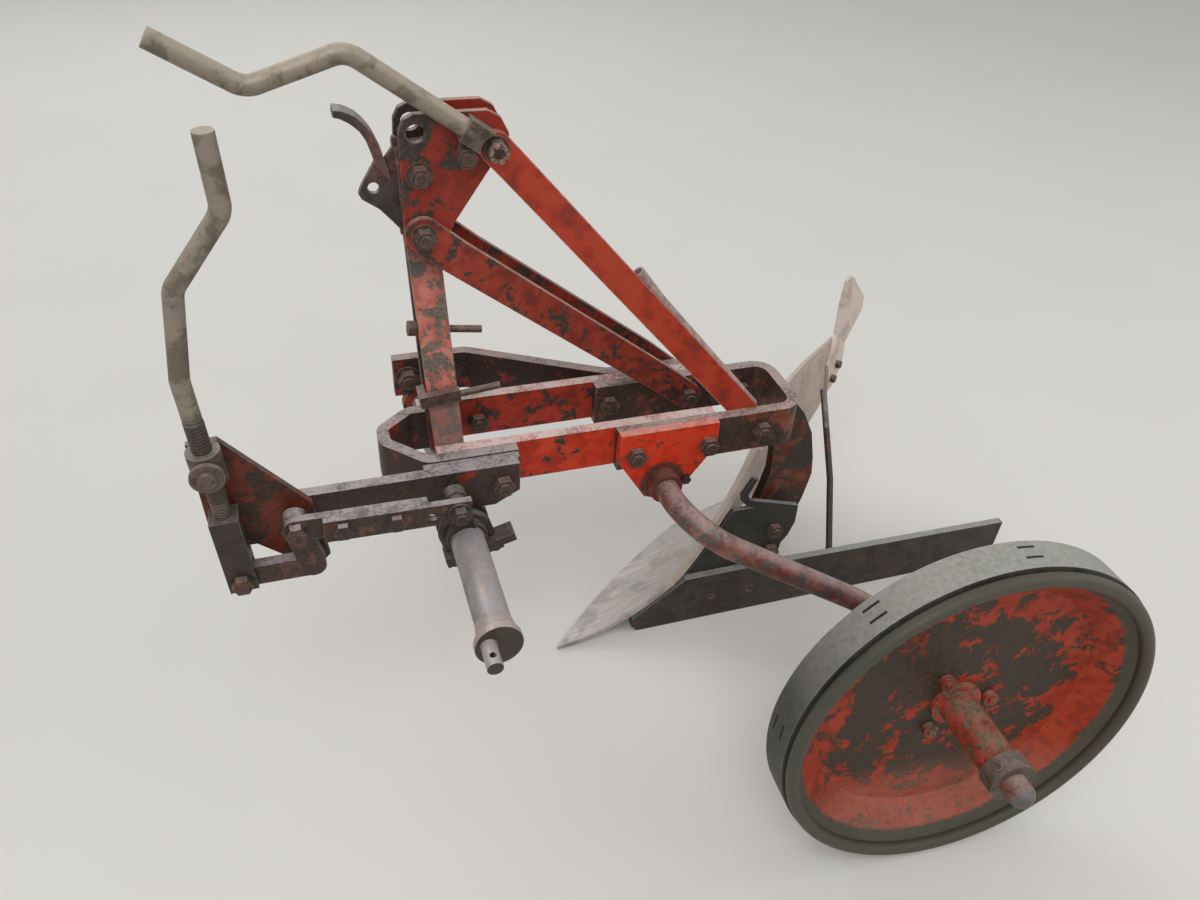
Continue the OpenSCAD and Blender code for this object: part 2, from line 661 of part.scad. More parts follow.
module frame_bolts() {
  y_out_h = y_out_r - bar_t / 2 - seat - hitch_out;
  frame0() color("#4a423e") {
    for (x = near_bx) bolt_y(x, fb_z, bolt_d, -bar_t, bar_t + 2 * seat + brk_t);
    across(far_bx[0], fb_z, bolt_d, y_out_r + 0.5, y_in_r + bar_t + 1);
    hex_y(far_bx[0], fb_z, bolt_d * 1.5, y_in_r + bar_t + 2 * seat, y_in_r + bar_t + 10);
    bolt_y(far_bx[1], fb_z, bolt_d, y_out_r - bar_t - 2 * seat - plate_t,
      y_in_r + bar_t + 2 * seat + plate_t);
    bolt_y(fore_bx, fb_z, bolt_d, -bar_t, hy_l);
    bolt_y(fore_bx, fb_z - 10, bolt_d, y_out_r, y_in_r);
    across(bow_bx, fb_z, bolt_d, y_out_r - 1, y_in_r + bar_t + seat / 2);
    hex_y(bow_bx, fb_z, bolt_d * 1.5, y_out_r - 10, y_out_r);
    for (x = outer_bx) washer_bolt(x, fb_z, bolt_d, y_out_h - bar_t / 2, y_out_h + bar_t / 2);
    for (x = leg_bx) bolt_y(x, leg_bz, bolt_d, leg_y, y_in_r + bar_t + seat);
    bolt_y(h_foot[0], fb_z, bolt_d, -plate_t, bar_t + seat);
    bolt_y(bc_x + 8, -24, bolt_d, hy_l - bar_t, hy_l + plate_t + seat / 2, 7);
  }
}

module mast_bolts() {
  frame0() color("#4a423e") {
    washer_bolt(h_low[0], h_low[1], mast_bolt_d, 2 * y_mid - hp_face - seat - plate_t,
      hp_face + seat + plate_t);
    washer_bolt(h_mid[0], h_mid[1], mast_bolt_d, 2 * y_mid - hp_face, hp_face);
    washer_bolt(h_strut[0], h_strut[1], mast_bolt_d, 2 * y_mid - hp_face, hp_face + seat + plate_t);
    bolt_y(h_yoke[0], h_yoke[1], mast_bolt_d, hp_y, hp_face + seat + yoke_t);
  }
}

module body_bolts() {
  frame0() color("#4a423e") {
    for (z = frog_bz) bolt_y(frog_bx, gz + z, bolt_d, leg_y, fy - seat);
    for (x = land_bx) across(x, gz + land_bz, land_bd, y_in_r - 12, fy + land_t - 0.5);
  }
}

module tail_bolts() {
  q = [[0.95, 0.69], [0.905, 0.6]];
  o = board_t + tail_t + 0.8;
  frame0() color("#4a423e") translate([0, 0, gz])
    for (c = q) along(on_back(c[0], c[1], o), on_back(c[0], c[1], o + 8)) cylinder(h = 8, r = 7.5);
}

// Frame along the levelling screw, its middle at the trunnion
module at_screw() {
  translate([tr_x, scr_y, tr_z]) rotate([0, scr_lean, 0]) children();
}

module trunnion() {
  frame0() color("#54403a") difference() {
    union() {
      at_screw() translate([0, 0, -20]) cylinder(h = 40, d = 36);
      across(tr_x, tr_z, pivot_d, hy_l - 6, scr_y + 30);
      across(tr_x, tr_z, 36, scr_y + 20, scr_y + 25);
    }
    at_screw() translate([0, 0, -50]) cylinder(h = 100, d = crank_d + 2 * play);
  }
}

module level_crank() {
  d = [sin(scr_lean), 0, cos(scr_lean)];
  p = [tr_x, scr_y, tr_z];
  frame0() color("#6b5b50") bent_rod([[tr_x - 61.5, scr_y, 440], [tr_x - 64, scr_y, 366],
    [tr_x - 8, scr_y, 293], p + d * 108, p - d * 112], 26, crank_d / 2);
}

module screw_box() {
  frame0() color("#54403a") difference() {
    at_screw() translate([-16, -15, -box_l - 13]) cube([32, 30, 106]);
    at_screw() translate([0, 0, -box_l + 30]) cylinder(h = 120, d = crank_d + 2 * play);
    at_screw() translate([-40, -9, -box_l - 14]) cube([60, 18, 34]);
    across(box_x, box_z, arm_d + 2 * bolt_gap, scr_y - 20, scr_y + 20);
  }
}

module bell_crank() {
  y0 = pl_y + 2;
  p = [bc_x + arm_v[0], bc_z + arm_v[1]];
  frame0() color("#7c3a2e") difference() {
    union() {
      plate_xz(scr_y - 7, 14) eye_bar([box_x, box_z], [bc_x, bc_z], 28, 0, 0);
      plate_xz(scr_y - 7, 14) eye_bar([bc_x, bc_z], p, 30, 0, 0);
      across(bc_x, bc_z, 30, y0, scr_y);
      across(bc_x, bc_z, pivot_d, hy_l - 6, scr_y);
    }
    across(p[0], p[1], arm_d + 2 * play, scr_y - 8, scr_y + 8);
    translate([box_x - 7.3, scr_y - 8, box_z - 7.1]) cube([16.8, 16, 14.2]);
  }
}

module box_pin() {
  frame0() color("#4a423e") {
    across(box_x, box_z, arm_d, scr_y - 21, scr_y + 18);
    hex_y(box_x, box_z, arm_d * 1.5, scr_y + 15 + seat, scr_y + 24);
    hex_y(box_x, box_z, arm_d * 1.5, scr_y - 24, scr_y - 15 - seat);
  }
}

// Link of two lapped flat bars, from the bell crank to the shaft's arm
lk_y = scr_y + 8;
lk_w = 30;
lk_t = 10;
lk_y2 = lk_y + lk_t + seat;
lk_a = [bc_x + arm_v[0], bc_z + arm_v[1]];
lk_b = [sh_x + arm_v[0], sh_z + arm_v[1]];
module link_bar() {
  l = norm(lk_b - lk_a);
  frame0() color("#5a4038") {
    difference() {
      union() {
        on_line(lk_a, lk_b) {
          across(0, 0, lk_w + 2 * swell, lk_y, lk_y + lk_t);
          translate([0, lk_y, -lk_w / 2]) cube([l - 35, lk_t, lk_w]);
          translate([30, lk_y2, -lk_w / 2]) cube([l + 15 - 30, lk_t - 1, lk_w]);
          for (x = [51, 111]) translate([x, 0, 0]) {
            across(0, 0, 12, lk_y - 8, lk_y2 + lk_t);
            hex_y(0, 0, 19, lk_y2 + lk_t - 1, lk_y2 + lk_t + 6);
            hex_y(0, 0, 19, lk_y - 6, lk_y);
          }
        }
      }
      across(lk_b[0], lk_b[1], arm_d + 2 * play, lk_y - 1, lk_y2 + lk_t + 1);
      across(lk_a[0], lk_a[1], arm_d - 1, lk_y - 1, lk_y + lk_t + 1);
      on_line(lk_a, lk_b) across(l - 31, 0, 12, lk_y2 - 2, lk_y2 + lk_t);
    }
    across(lk_a[0], lk_a[1], arm_d, scr_y - 7, lk_y + lk_t + 2);
    hex_y(lk_a[0], lk_a[1], arm_d * 1.5, lk_y + lk_t - 1, lk_y + lk_t + 10);
  }
}

// Tube with a flared end plate and an offset pin at each end; the far end is turned over
pin_hole = 8;
pin_hole_at = 0.65;
flare = [28, 30];
flare_z = -4;
module shaft_end(k) {
  h = 30;
  translate([sh_x, 0, sh_z]) {
    translate([0, -h, 0]) rotate([-90, 0, 0])
      cylinder(h = h - 7, r1 = shaft_d / 2 + swell, r2 = flare[0] - 3);
    plate_xz(-8, 8) translate([0, flare_z])
      polygon([for (i = [0:35]) [flare[0] * cos(10 * i), flare[1] * sin(10 * i)]]);
    difference() {
      across(k * pin_off, 0, pin_d, -1, pin_len);
      translate([k * pin_off, pin_hole_at * pin_len, -pin_d]) cylinder(h = 2 * pin_d, d = pin_hole);
    }
  }
}

module cross_shaft() {
  frame0() color("#8a7466") {
    across(sh_x, sh_z, shaft_d, sh_y0, sh_y1);
    translate([0, sh_y1, 0]) shaft_end(1);
    translate([0, sh_y0, 0]) mirror([0, 1, 0]) shaft_end(-1);
  }
}

// Clamp on the shaft: U-bolt over it, saddle bar under it, and the arm that the link works on
module shaft_arm() {
  r = shaft_d / 2;
  ub_r = 6;
  ub_y = hy_l + 14;
  ub_x = r + ub_r + seat;
  sd_t = 12;
  clamp_lean = 16;
  frame0() color("#54403a") difference() {
    union() {
      across(sh_x, sh_z, shaft_d + 9, ub_y + 5, lk_y - 4);
      plate_xz(lk_y - 16, 15) eye_bar([sh_x, sh_z], lk_b, 28, 0, 0);
      across(lk_b[0], lk_b[1], 24, lk_y - 2, lk_y + lk_t);
      across(lk_b[0], lk_b[1], arm_d, lk_y - 10, lk_y2 + lk_t + 15);
      across(lk_b[0], lk_b[1], 28, lk_y2 + lk_t - 1 + seat, lk_y2 + lk_t + 2);
      hex_y(lk_b[0], lk_b[1], 19, lk_y2 + lk_t + 1, lk_y2 + lk_t + 12);
      translate([sh_x, ub_y, sh_z]) rotate([0, clamp_lean, 0]) {
        translate([-56, -8, -r - sd_t - seat]) cube([92, 24, sd_t]);
        rotate([90, 0, 0]) rotate_extrude(angle = 180) translate([ub_x, 0]) circle(r = ub_r + swell);
        for (k = [-1, 1]) translate([k * ub_x, 0, 0]) {
          translate([0, 0, -r - sd_t - 16]) cylinder(h = r + sd_t + 17, r = ub_r);
          translate([-10, -10, -r - sd_t - 10]) cube([20, 20, 10]);
        }
      }
    }
    across(sh_x, sh_z, shaft_d + 2 * play, 0, 200);
  }
}

// Frame on the wheel: X and Y in its plane, Z out along its axle
module at_wheel() {
  translate(wh) rotate([camber, 0, -toe]) rotate([-90, 0, 0]) children();
}

ax_n = [sin(toe) * cos(camber), cos(toe) * cos(camber), sin(camber)];
ax_in = -192;
ax_out = 126;
module wheel_axle() {
  tip = wh + ax_n * (ax_out - axle_d / 2);
  frame0() color("#6d4a3c") {
    bent_rod([[br_x, bar_t - 4, br_z], [br_x, 130, br_z], wh + ax_n * ax_in, tip], axle_bend, axle_d / 2);
    translate(tip) sphere(r = axle_d / 2 + swell / 2);
  }
}

module axle_collar() {
  frame0() color("#54403a") at_wheel() translate([0, 0, 70.5]) difference() {
    cylinder(h = 24, d = axle_d + 26);
    translate([0, 0, -1]) cylinder(h = 26, d = axle_d + 2 * play);
  }
}

hoop_t = 10;
bead_r = 9;
module wheel_rim() {
  frame0() color("#4a423e") at_wheel() translate([0, 0, -rim_w]) difference() {
    cylinder(h = rim_w, d = wheel_d);
    translate([0, 0, -1]) cylinder(h = rim_w + 2, d = wheel_d - 2 * hoop_t);
  }
}

// Pressed disc: rolled bead, cone and flat middle, recessed as seen from outside
disc_in = -33;
disc_t = 8;
hub_r = axle_d / 2 + 8;
module wheel_disc() {
  ro = wheel_d / 2 - hoop_t - seat;
  frame0() color("#b0402c") at_wheel() {
    rotate_extrude() translate([ro - 1, seat + bead_r]) circle(r = bead_r);
    rotate_extrude() polygon([[hub_r + seat, disc_in], [ro - 50, disc_in], [ro - 8, 5], [ro - 4, 8], [ro, 4],
      [ro, -8], [ro - 46, disc_in - disc_t], [hub_r + seat, disc_in - disc_t]]);
  }
}

module wheel_hub() {
  frame0() color("#93392b") at_wheel() difference() {
    union() {
      translate([0, 0, -75]) cylinder(h = 145, r = hub_r);
      translate([0, 0, disc_in + seat]) cylinder(h = 6, d = 68);
      for (a = [178, 298, 58]) rotate([0, 0, a]) translate([50, 0, disc_in + seat]) {
        cylinder(h = 12, d = 11);
        cylinder(h = 8, d = 20);
      }
    }
    translate([0, 0, -80]) cylinder(h = 160, d = axle_d + 2 * play);
  }
}

side_bar_left();
side_bar_right();
front_bow();
rear_bow();
hitch_bar_left();
hitch_spacer();
hitch_bar_right();
mast_upright_left();
mast_upright_right();
mast_plate_left();
mast_plate_right();
brace_left();
brace_right();
strut();
strut_sleeve();
crank_yoke();
trunnion_plate();
wheel_bracket();
leg();
frog();
share();
mouldboard();
tail_piece();
landside();
stay();
frame_bolts();
mast_bolts();
body_bolts();
hook_bolts();
tail_bolts();
top_crank();
latch_lever();
trunnion();
level_crank();
screw_box();
box_pin();
bell_crank();
link_bar();
cross_shaft();
shaft_arm();
wheel_axle();
axle_collar();
wheel_rim();
wheel_disc();
wheel_hub();
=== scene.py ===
"""Mounted single-furrow plough: finishes, small trim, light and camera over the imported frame.

Metres in the plough's own frame: X the way that it is drawn, Y to its left, Z up from the ground.
"""
import math
from statistics import NormalDist

import bmesh
import bpy
import numpy as np
from mathutils import Matrix, Vector


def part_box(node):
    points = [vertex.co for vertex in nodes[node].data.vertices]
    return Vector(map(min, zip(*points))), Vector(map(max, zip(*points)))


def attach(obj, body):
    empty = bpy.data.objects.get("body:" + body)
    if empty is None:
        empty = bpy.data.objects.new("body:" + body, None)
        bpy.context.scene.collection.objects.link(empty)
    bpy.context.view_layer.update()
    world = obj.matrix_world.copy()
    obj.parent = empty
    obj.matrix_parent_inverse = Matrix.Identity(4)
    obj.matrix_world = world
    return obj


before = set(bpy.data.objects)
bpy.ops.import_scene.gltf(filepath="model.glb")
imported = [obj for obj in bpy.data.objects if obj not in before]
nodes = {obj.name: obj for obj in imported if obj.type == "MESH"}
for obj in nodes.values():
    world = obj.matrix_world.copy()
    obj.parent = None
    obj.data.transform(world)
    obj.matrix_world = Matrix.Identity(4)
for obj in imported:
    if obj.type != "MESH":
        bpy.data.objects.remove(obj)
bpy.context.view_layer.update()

# Land wheel: middle of its outer face, its axis out to the left, and its upright and forward directions
WHEEL_AT = Vector((-0.2065, 0.3649, 0.252342))
WHEEL_AXIS = Vector((0.052238, 0.996767, 0.061049)).normalized()
WHEEL_TURN = WHEEL_AXIS.to_track_quat("Z", "X").to_euler()
WHEEL_UP = (Vector((0, 0, 1)) - WHEEL_AXIS * WHEEL_AXIS.z).normalized()
WHEEL_FRONT = WHEEL_AXIS.cross(WHEEL_UP)
# Distances from the wheel's axis: where the disc's wear begins to fade, where it has faded, and its bare bead
WEAR_FULL = 0.13
WEAR_GONE = 0.195
BEAD = 0.224
# Levelling screw: its middle at the trunnion, its axis up the crank, and its thread's pitch
SCREW_AT = Vector((0.628, 0.0469, 0.576))
SCREW_AXIS = Vector((0.052336, 0.0, 0.99863)).normalized()
SCREW_PITCH = 0.004
# A wave texture of scale 1 has its bands 314 mm apart, and this scale brings them to the thread's pitch
PITCH_WAVES = 78.5
# Hitch shaft: the Y of its middle, and the X of the line of yellow paint along its top
SHAFT_MIDDLE = -0.0481
SHAFT_STREAK = 0.3605
# Bolts seen from the side, as X and Z: on the head plates and on the frame bars
HEAD_BOLTS = [(0.3715, 0.835), (0.3715, 0.769), (0.3225, 0.854), (0.2915, 0.861), (0.3725, 0.878)]
FRAME_BOLTS = [(0.1235, 0.46), (0.0215, 0.46), (0.1215, 0.46), (0.0065, 0.46), (0.3025, 0.46), (0.3575, 0.46)]
# Wheel bracket, as X and Z: the middle of the axle's boss, and of the small bolt head beside it
AXLE_BOSS = (0.0825, 0.41)
SMALL_BOLT = (0.0485, 0.408)


def linear(hex_colour):
    """sRGB hex colour as linear RGBA."""
    c = [int(hex_colour[i:i + 2], 16) / 255 for i in (1, 3, 5)]
    return [v / 12.92 if v <= 0.04045 else ((v + 0.055) / 1.055) ** 2.4 for v in c] + [1.0]


def add(tree, kind, out=0, settings=(), **links):
    """Adds a shader node and gives one of its outputs, by number or name.

    Settings are attributes, or sockets by name or number, with hex colours turned to linear. Links go by
    socket name, or in0, in1 and so on by number. A colour Mix takes its share at 0, its colours at 6 and 7,
    and gives output 2.
    """
    node = tree.nodes.new("ShaderNode" + kind)
    for key, value in dict(settings).items():
        if isinstance(key, int) or key in node.inputs:
            node.inputs[key].default_value = linear(value) if isinstance(value, str) else value
        else:
            setattr(node, key, value)
    for key, source in links.items():
        key = key.replace("_", " ")
        tree.links.new(source, node.inputs[int(key[2:]) if key[2:].isdigit() else key])
    return node.outputs[out]


def new_finish(name, seed=0.0):
    """Empty material: its node tree, its shader and its Object coordinates, plain and shifted by a seed."""
    mat = bpy.data.materials.new(name)
    mat.use_nodes = True
    tree = mat.node_tree
    place = add(tree, "TexCoord", "Object")
    shifted = add(tree, "Mapping", 0, {"Location": (seed, seed * 1.7, seed * 0.6)}, Vector=place)
    return mat, tree, tree.nodes["Principled BSDF"], place, shifted


def noise_level(share):
    """Level that a share of a noise texture lies over: its values spread about 0.5 by 0.085."""
    return 0.5 + 0.085 * NormalDist().inv_cdf(1 - share)


# Corner share: it drives paint wear on corners and the painted highlight along them
def worn_and_highlit_edges(tree, radius_mm):
    """Share of a corner: how far the normal rounded over radius_mm turns from the true one."""
    rounded = add(tree, "Bevel", 0, {"samples": 4, "Radius": radius_mm / 1000})
    normal = add(tree, "NewGeometry", "Normal")
    same = add(tree, "VectorMath", 1, {"operation": "DOT_PRODUCT"}, in0=rounded, in1=normal)
    return add(tree, "MapRange", 0, {"From Min": 0.995, "From Max": 0.88}, Value=same)


def skyward(tree, low, high):
    """Share of a surface that faces up: the Z of its normal from low to high."""
    normal = add(tree, "NewGeometry", "Normal")
    return add(tree, "MapRange", 0, {"From Min": low, "From Max": high},
               Value=add(tree, "SeparateXYZ", "Z", Vector=normal))


def across_piece(tree, place, axis, low, high):
    """Share that grows from 0 at low to 1 at high metres along an axis."""
    return add(tree, "MapRange", 0, {"From Min": low, "From Max": high},
               Value=add(tree, "SeparateXYZ", axis, Vector=place))


def off_axis(tree, place, centres):
    """Least distance in metres, seen from the side, to any of the centres given as X and Z."""
    least = None
    for x, z in centres:
        shift = add(tree, "VectorMath", 0, {"operation": "SUBTRACT", 1: (x, 0, z)}, in0=place)
        flat = add(tree, "VectorMath", 0, {"operation": "MULTIPLY", 1: (1, 0, 1)}, in0=shift)
        far = add(tree, "VectorMath", 1, {"operation": "LENGTH"}, in0=flat)
        least = far if least is None else add(tree, "Math", 0, {"operation": "MINIMUM"}, in0=far, in1=least)
    return least


def wheel_radius(tree, place):
    """Distance from the wheel's axis in metres."""
    local = add(tree, "Mapping", 0, {"vector_type": "TEXTURE", "Location": WHEEL_AT, "Rotation": WHEEL_TURN},
                Vector=place)
    flat = add(tree, "VectorMath", 0, {"operation": "MULTIPLY", 1: (1, 1, 0)}, in0=local)
    return add(tree, "VectorMath", 1, {"operation": "LENGTH"}, in0=flat)


def enamel(name, reds, steels, bare, patch_mm=38, top="#b5a19b", top_share=0.5, seed=0.0, zone=None,
           chip=0.66, fade_share=0.55, edge="#9a8a80", edge_share=0.45, twist=0.3, veils=()):
    """Brushed machinery enamel on rolled steel, flaked off in ragged patches with small chips between them.

    reds are the paint fresh, chalked and sooty. steels are the bare metal's dark skin and its brown rust
    film. bare is the share of paint gone in patches of patch_mm, and zone adds to it from place to place. top
    is dust together with painted sky light on faces that look up, and edge the pale line of corners, worn by
    rubbing and given a painted highlight. veils are extra colours over it all, each with the function of its
    share.
    """
    mat, tree, shader, place, shifted = new_finish(name, seed)
    broad = add(tree, "TexNoise", 0, {"Scale": 1000 / patch_mm, "Detail": 10, "Roughness": 0.72,
                                      "Distortion": twist}, Vector=shifted)
    corner = worn_and_highlit_edges(tree, 2.2)
    loose = add(tree, "Math", 0, {"operation": "MULTIPLY_ADD", 1: 0.07}, in0=corner, in2=broad)
    if zone:
        loose = add(tree, "Math", 0, {"operation": "ADD"}, in0=loose, in1=zone(tree, place))
    cut = noise_level(bare)
    flaked = add(tree, "MapRange", 0, {"From Min": cut, "From Max": cut + 0.012}, Value=loose)
    # Chips of 2 to 6 mm, where grit and stones struck
    grit = add(tree, "TexNoise", 0, {"Scale": 200, "Detail": 5, "Roughness": 0.65}, Vector=shifted)
    chips = add(tree, "MapRange", 0, {"From Min": chip, "From Max": chip + 0.02}, Value=grit)
    worn = add(tree, "Math", 0, {"operation": "MAXIMUM"}, in0=flaked, in1=chips)
    # Clouds of 26 mm: chalked by the sun where they are high, sooty with oil and dirt where they are low
    cloud = add(tree, "TexNoise", 0, {"Scale": 1000 / 26, "Detail": 6, "Roughness": 0.62, "Distortion": 0.3},
                Vector=add(tree, "Mapping", 0, {"Location": (3.1, 0.4, 1.9)}, Vector=shifted))
    chalk = add(tree, "MapRange", 0, {"From Min": 0.47, "From Max": 0.66, "To Max": fade_share}, Value=cloud)
    paint = add(tree, "Mix", 2, {"data_type": "RGBA", 6: reds[0], 7: reds[1]}, in0=chalk)
    soot = add(tree, "MapRange", 0, {"From Min": 0.52, "From Max": 0.36, "To Max": 0.8}, Value=cloud)
    paint = add(tree, "Mix", 2, {"data_type": "RGBA", 7: reds[2]}, in0=soot, in6=paint)
    film = add(tree, "MapRange", 0, {"From Min": 0.44, "From Max": 0.60}, Value=grit)
    steel = add(tree, "Mix", 2, {"data_type": "RGBA", 6: steels[0], 7: steels[1]}, in0=film)
    skin = add(tree, "Mix", 2, {"data_type": "RGBA"}, in0=worn, in6=paint, in7=steel)
    # Pale line on corners: paint worn by rubbing, and a painted highlight
    rubbed_and_highlit = add(tree, "Math", 0, {"operation": "MULTIPLY", 1: edge_share}, in0=corner)
    patchy = add(tree, "MapRange", 0, {"From Min": 0.35, "From Max": 0.55}, Value=grit)
    rubbed_and_highlit = add(tree, "Math", 0, {"operation": "MULTIPLY"}, in0=rubbed_and_highlit, in1=patchy)
    skin = add(tree, "Mix", 2, {"data_type": "RGBA", 7: edge}, in0=rubbed_and_highlit, in6=skin)
    # Dust together with painted sky light: a pale tone in patches on faces that look up
    dust_and_sky_light = add(tree, "Math", 0, {"operation": "MULTIPLY", 1: 0.5}, in0=cloud)
    dust_and_sky_light = add(tree, "Math", 0, {"operation": "MULTIPLY_ADD", 1: 0.5}, in0=grit, in2=dust_and_sky_light)
    upward = skyward(tree, 0.5, 0.95)
    dust_and_sky_light = add(tree, "MapRange", 0, {"From Min": 0.40, "From Max": 0.53, "To Min": 0.3 * top_share,
                                      "To Max": top_share}, Value=dust_and_sky_light)
    dust_and_sky_light = add(tree, "Math", 0, {"operation": "MULTIPLY"}, in0=upward, in1=dust_and_sky_light)
    skin = add(tree, "Mix", 2, {"data_type": "RGBA", 7: top}, in0=dust_and_sky_light, in6=skin)
    for colour, share in veils:
        skin = add(tree, "Mix", 2, {"data_type": "RGBA", 7: colour}, in0=share(tree, place, grit), in6=skin)
    tree.links.new(skin, shader.inputs["Base Color"])
    gloss = add(tree, "MapRange", 0, {"From Min": 0.3, "From Max": 0.7, "To Min": 0.42, "To Max": 0.6},
                Value=grit)
    tree.links.new(gloss, shader.inputs["Roughness"])
    # Chalked paint and rust film mirror less than fresh gloss
    shader.inputs["Specular IOR Level"].default_value = 0.3
    # A coat of enamel stands 0.25 mm over the steel
    height = add(tree, "Math", 0, {"operation": "MULTIPLY_ADD", 1: -0.6, 2: 0.6}, in0=worn)
    height = add(tree, "Math", 0, {"operation": "MULTIPLY_ADD", 1: 0.4}, in0=grit, in2=height)
    bump = add(tree, "Bump", 0, {"Strength": 0.7, "Distance": 0.00025}, Height=height)
    tree.links.new(bump, shader.inputs["Normal"])
    return mat


def iron(name, base, film, rust, rub_and_sheen, film_share=0.4, rust_share=0.08, size_mm=30, seed=0.0, metal=0.3,
         rough=(0.42, 0.6), top_share=0.5, veils=(), mottle=0.25):
    """Bare forged or rolled steel left out of doors: a dark film, freckles of rust, and pale corners and
    tops, partly worn by rubbing and partly a painted highlight and painted sky light.

    base is the bare metal and film the dark skin on film_share of it, in patches of size_mm. rub is the paler
    tone of corners and of faces that look up: some rubbing, with a painted highlight on the corners and
    painted sky light on the tops. mottle is how much of it stays between its spots. veils are extra colours
    with the function of their share, where one end or side looks different.
    """
    mat, tree, shader, place, shifted = new_finish(name, seed)
    broad = add(tree, "TexNoise", 0, {"Scale": 1000 / size_mm, "Detail": 8, "Roughness": 0.68,
                                      "Distortion": 0.4}, Vector=shifted)
    cut = noise_level(film_share)
    dark = add(tree, "MapRange", 0, {"From Min": cut - 0.03, "From Max": cut + 0.05}, Value=broad)
    skin = add(tree, "Mix", 2, {"data_type": "RGBA", 6: base, 7: film}, in0=dark)
    # Freckles of 3 to 8 mm
    fine = add(tree, "TexNoise", 0, {"Scale": 150, "Detail": 6, "Roughness": 0.7, "Distortion": 0.2},
               Vector=shifted)
    cut = noise_level(rust_share)
    spots = add(tree, "MapRange", 0, {"From Min": cut, "From Max": cut + 0.04, "To Max": 0.85}, Value=fine)
    skin = add(tree, "Mix", 2, {"data_type": "RGBA", 7: rust}, in0=spots, in6=skin)
    for colour, share in veils:
        skin = add(tree, "Mix", 2, {"data_type": "RGBA", 7: colour}, in0=share(tree, place, fine), in6=skin)
    # Painted highlight on corners and painted sky light on faces that look up, broken into patches
    corner = worn_and_highlit_edges(tree, 1.8)
    lit = add(tree, "Math", 0, {"operation": "MULTIPLY", 1: top_share}, in0=skyward(tree, 0.25, 0.95))
    lit = add(tree, "Math", 0, {"operation": "MULTIPLY_ADD", 1: 0.5, "use_clamp": True}, in0=corner, in2=lit)
    patchy = add(tree, "MapRange", 0, {"From Min": 0.3, "From Max": 0.6, "To Min": mottle}, Value=fine)
    lit = add(tree, "Math", 0, {"operation": "MULTIPLY"}, in0=lit, in1=patchy)
    skin = add(tree, "Mix", 2, {"data_type": "RGBA", 7: rub_and_sheen}, in0=lit, in6=skin)
    tree.links.new(skin, shader.inputs["Base Color"])
    clean = add(tree, "MapRange", 0, {"To Min": metal, "To Max": 0.25 * metal}, Value=dark)
    tree.links.new(clean, shader.inputs["Metallic"])
    gloss = add(tree, "MapRange", 0, {"From Min": 0.3, "From Max": 0.7, "To Min": rough[0],
                                      "To Max": rough[1]}, Value=fine)
    tree.links.new(gloss, shader.inputs["Roughness"])
    # Old oil and rust film mirror less than clean steel
    shader.inputs["Specular IOR Level"].default_value = 0.35
    # Pits and scale stand 0.2 mm
    bump = add(tree, "Bump", 0, {"Strength": 0.7, "Distance": 0.0002}, Height=fine)
    tree.links.new(bump, shader.inputs["Normal"])
    return mat


def disc_wear(tree, place):
    """More wear in the flat middle of the pressed disc, less on its cone, and a little more to the front."""
    middle = add(tree, "MapRange", 0, {"From Min": WEAR_FULL, "From Max": WEAR_GONE, "To Min": 0.075,
                                       "To Max": -0.06}, Value=wheel_radius(tree, place))
    front = across_piece(tree, place, "X", -0.12, 0.02)
    return add(tree, "Math", 0, {"operation": "MULTIPLY_ADD", 1: 0.04}, in0=front, in2=middle)


def head_wear(tree, place):
    """Paint gone towards the head plate's front and top edges, and in the grime round its bolts."""
    front = across_piece(tree, place, "X", 0.335, 0.375)
    high = across_piece(tree, place, "Z", 0.84, 0.895)
    both = add(tree, "Math", 0, {"operation": "MULTIPLY"}, in0=front, in1=high)
    both = add(tree, "Math", 0, {"operation": "MULTIPLY", 1: 0.2}, in0=both)
    both = add(tree, "Math", 0, {"operation": "MULTIPLY_ADD", 1: 0.06}, in0=front, in2=both)
    grime = add(tree, "MapRange", 0, {"From Min": 0.022, "From Max": 0.012, "To Max": 0.1},
                Value=off_axis(tree, place, HEAD_BOLTS))
    return add(tree, "Math", 0, {"operation": "ADD"}, in0=both, in1=grime)


def bolt_wear(tree, place):
    """Paint gone round the heads of the frame bolts, where a spanner has turned."""
    return add(tree, "MapRange", 0, {"From Min": 0.021, "From Max": 0.012, "To Max": 0.07},
               Value=off_axis(tree, place, FRAME_BOLTS))


def speckled(axis, low, high, most=1.0, middle=0.0):
    """Zone that fades in along an axis, or to both sides of a middle, and is broken up by fine noise."""
    def share(tree, place, fine):
        along = add(tree, "SeparateXYZ", axis, Vector=place)
        along = add(tree, "Math", 0, {"operation": "SUBTRACT", 1: middle}, in0=along)
        if middle:
            along = add(tree, "Math", 0, {"operation": "ABSOLUTE"}, in0=along)
        body = add(tree, "MapRange", 0, {"From Min": low, "From Max": high}, Value=along)
        broken = add(tree, "MapRange", 0, {"From Min": 0.35, "From Max": 0.6, "To Min": 0.4 * most,
                                           "To Max": most}, Value=fine)
        return add(tree, "Math", 0, {"operation": "MULTIPLY"}, in0=body, in1=broken)
    return share


def overlap(first, second):
    """Zone where two zones meet."""
    def share(tree, place, fine):
        return add(tree, "Math", 0, {"operation": "MULTIPLY"}, in0=first(tree, place, fine),
                   in1=second(tree, place, fine))
    return share


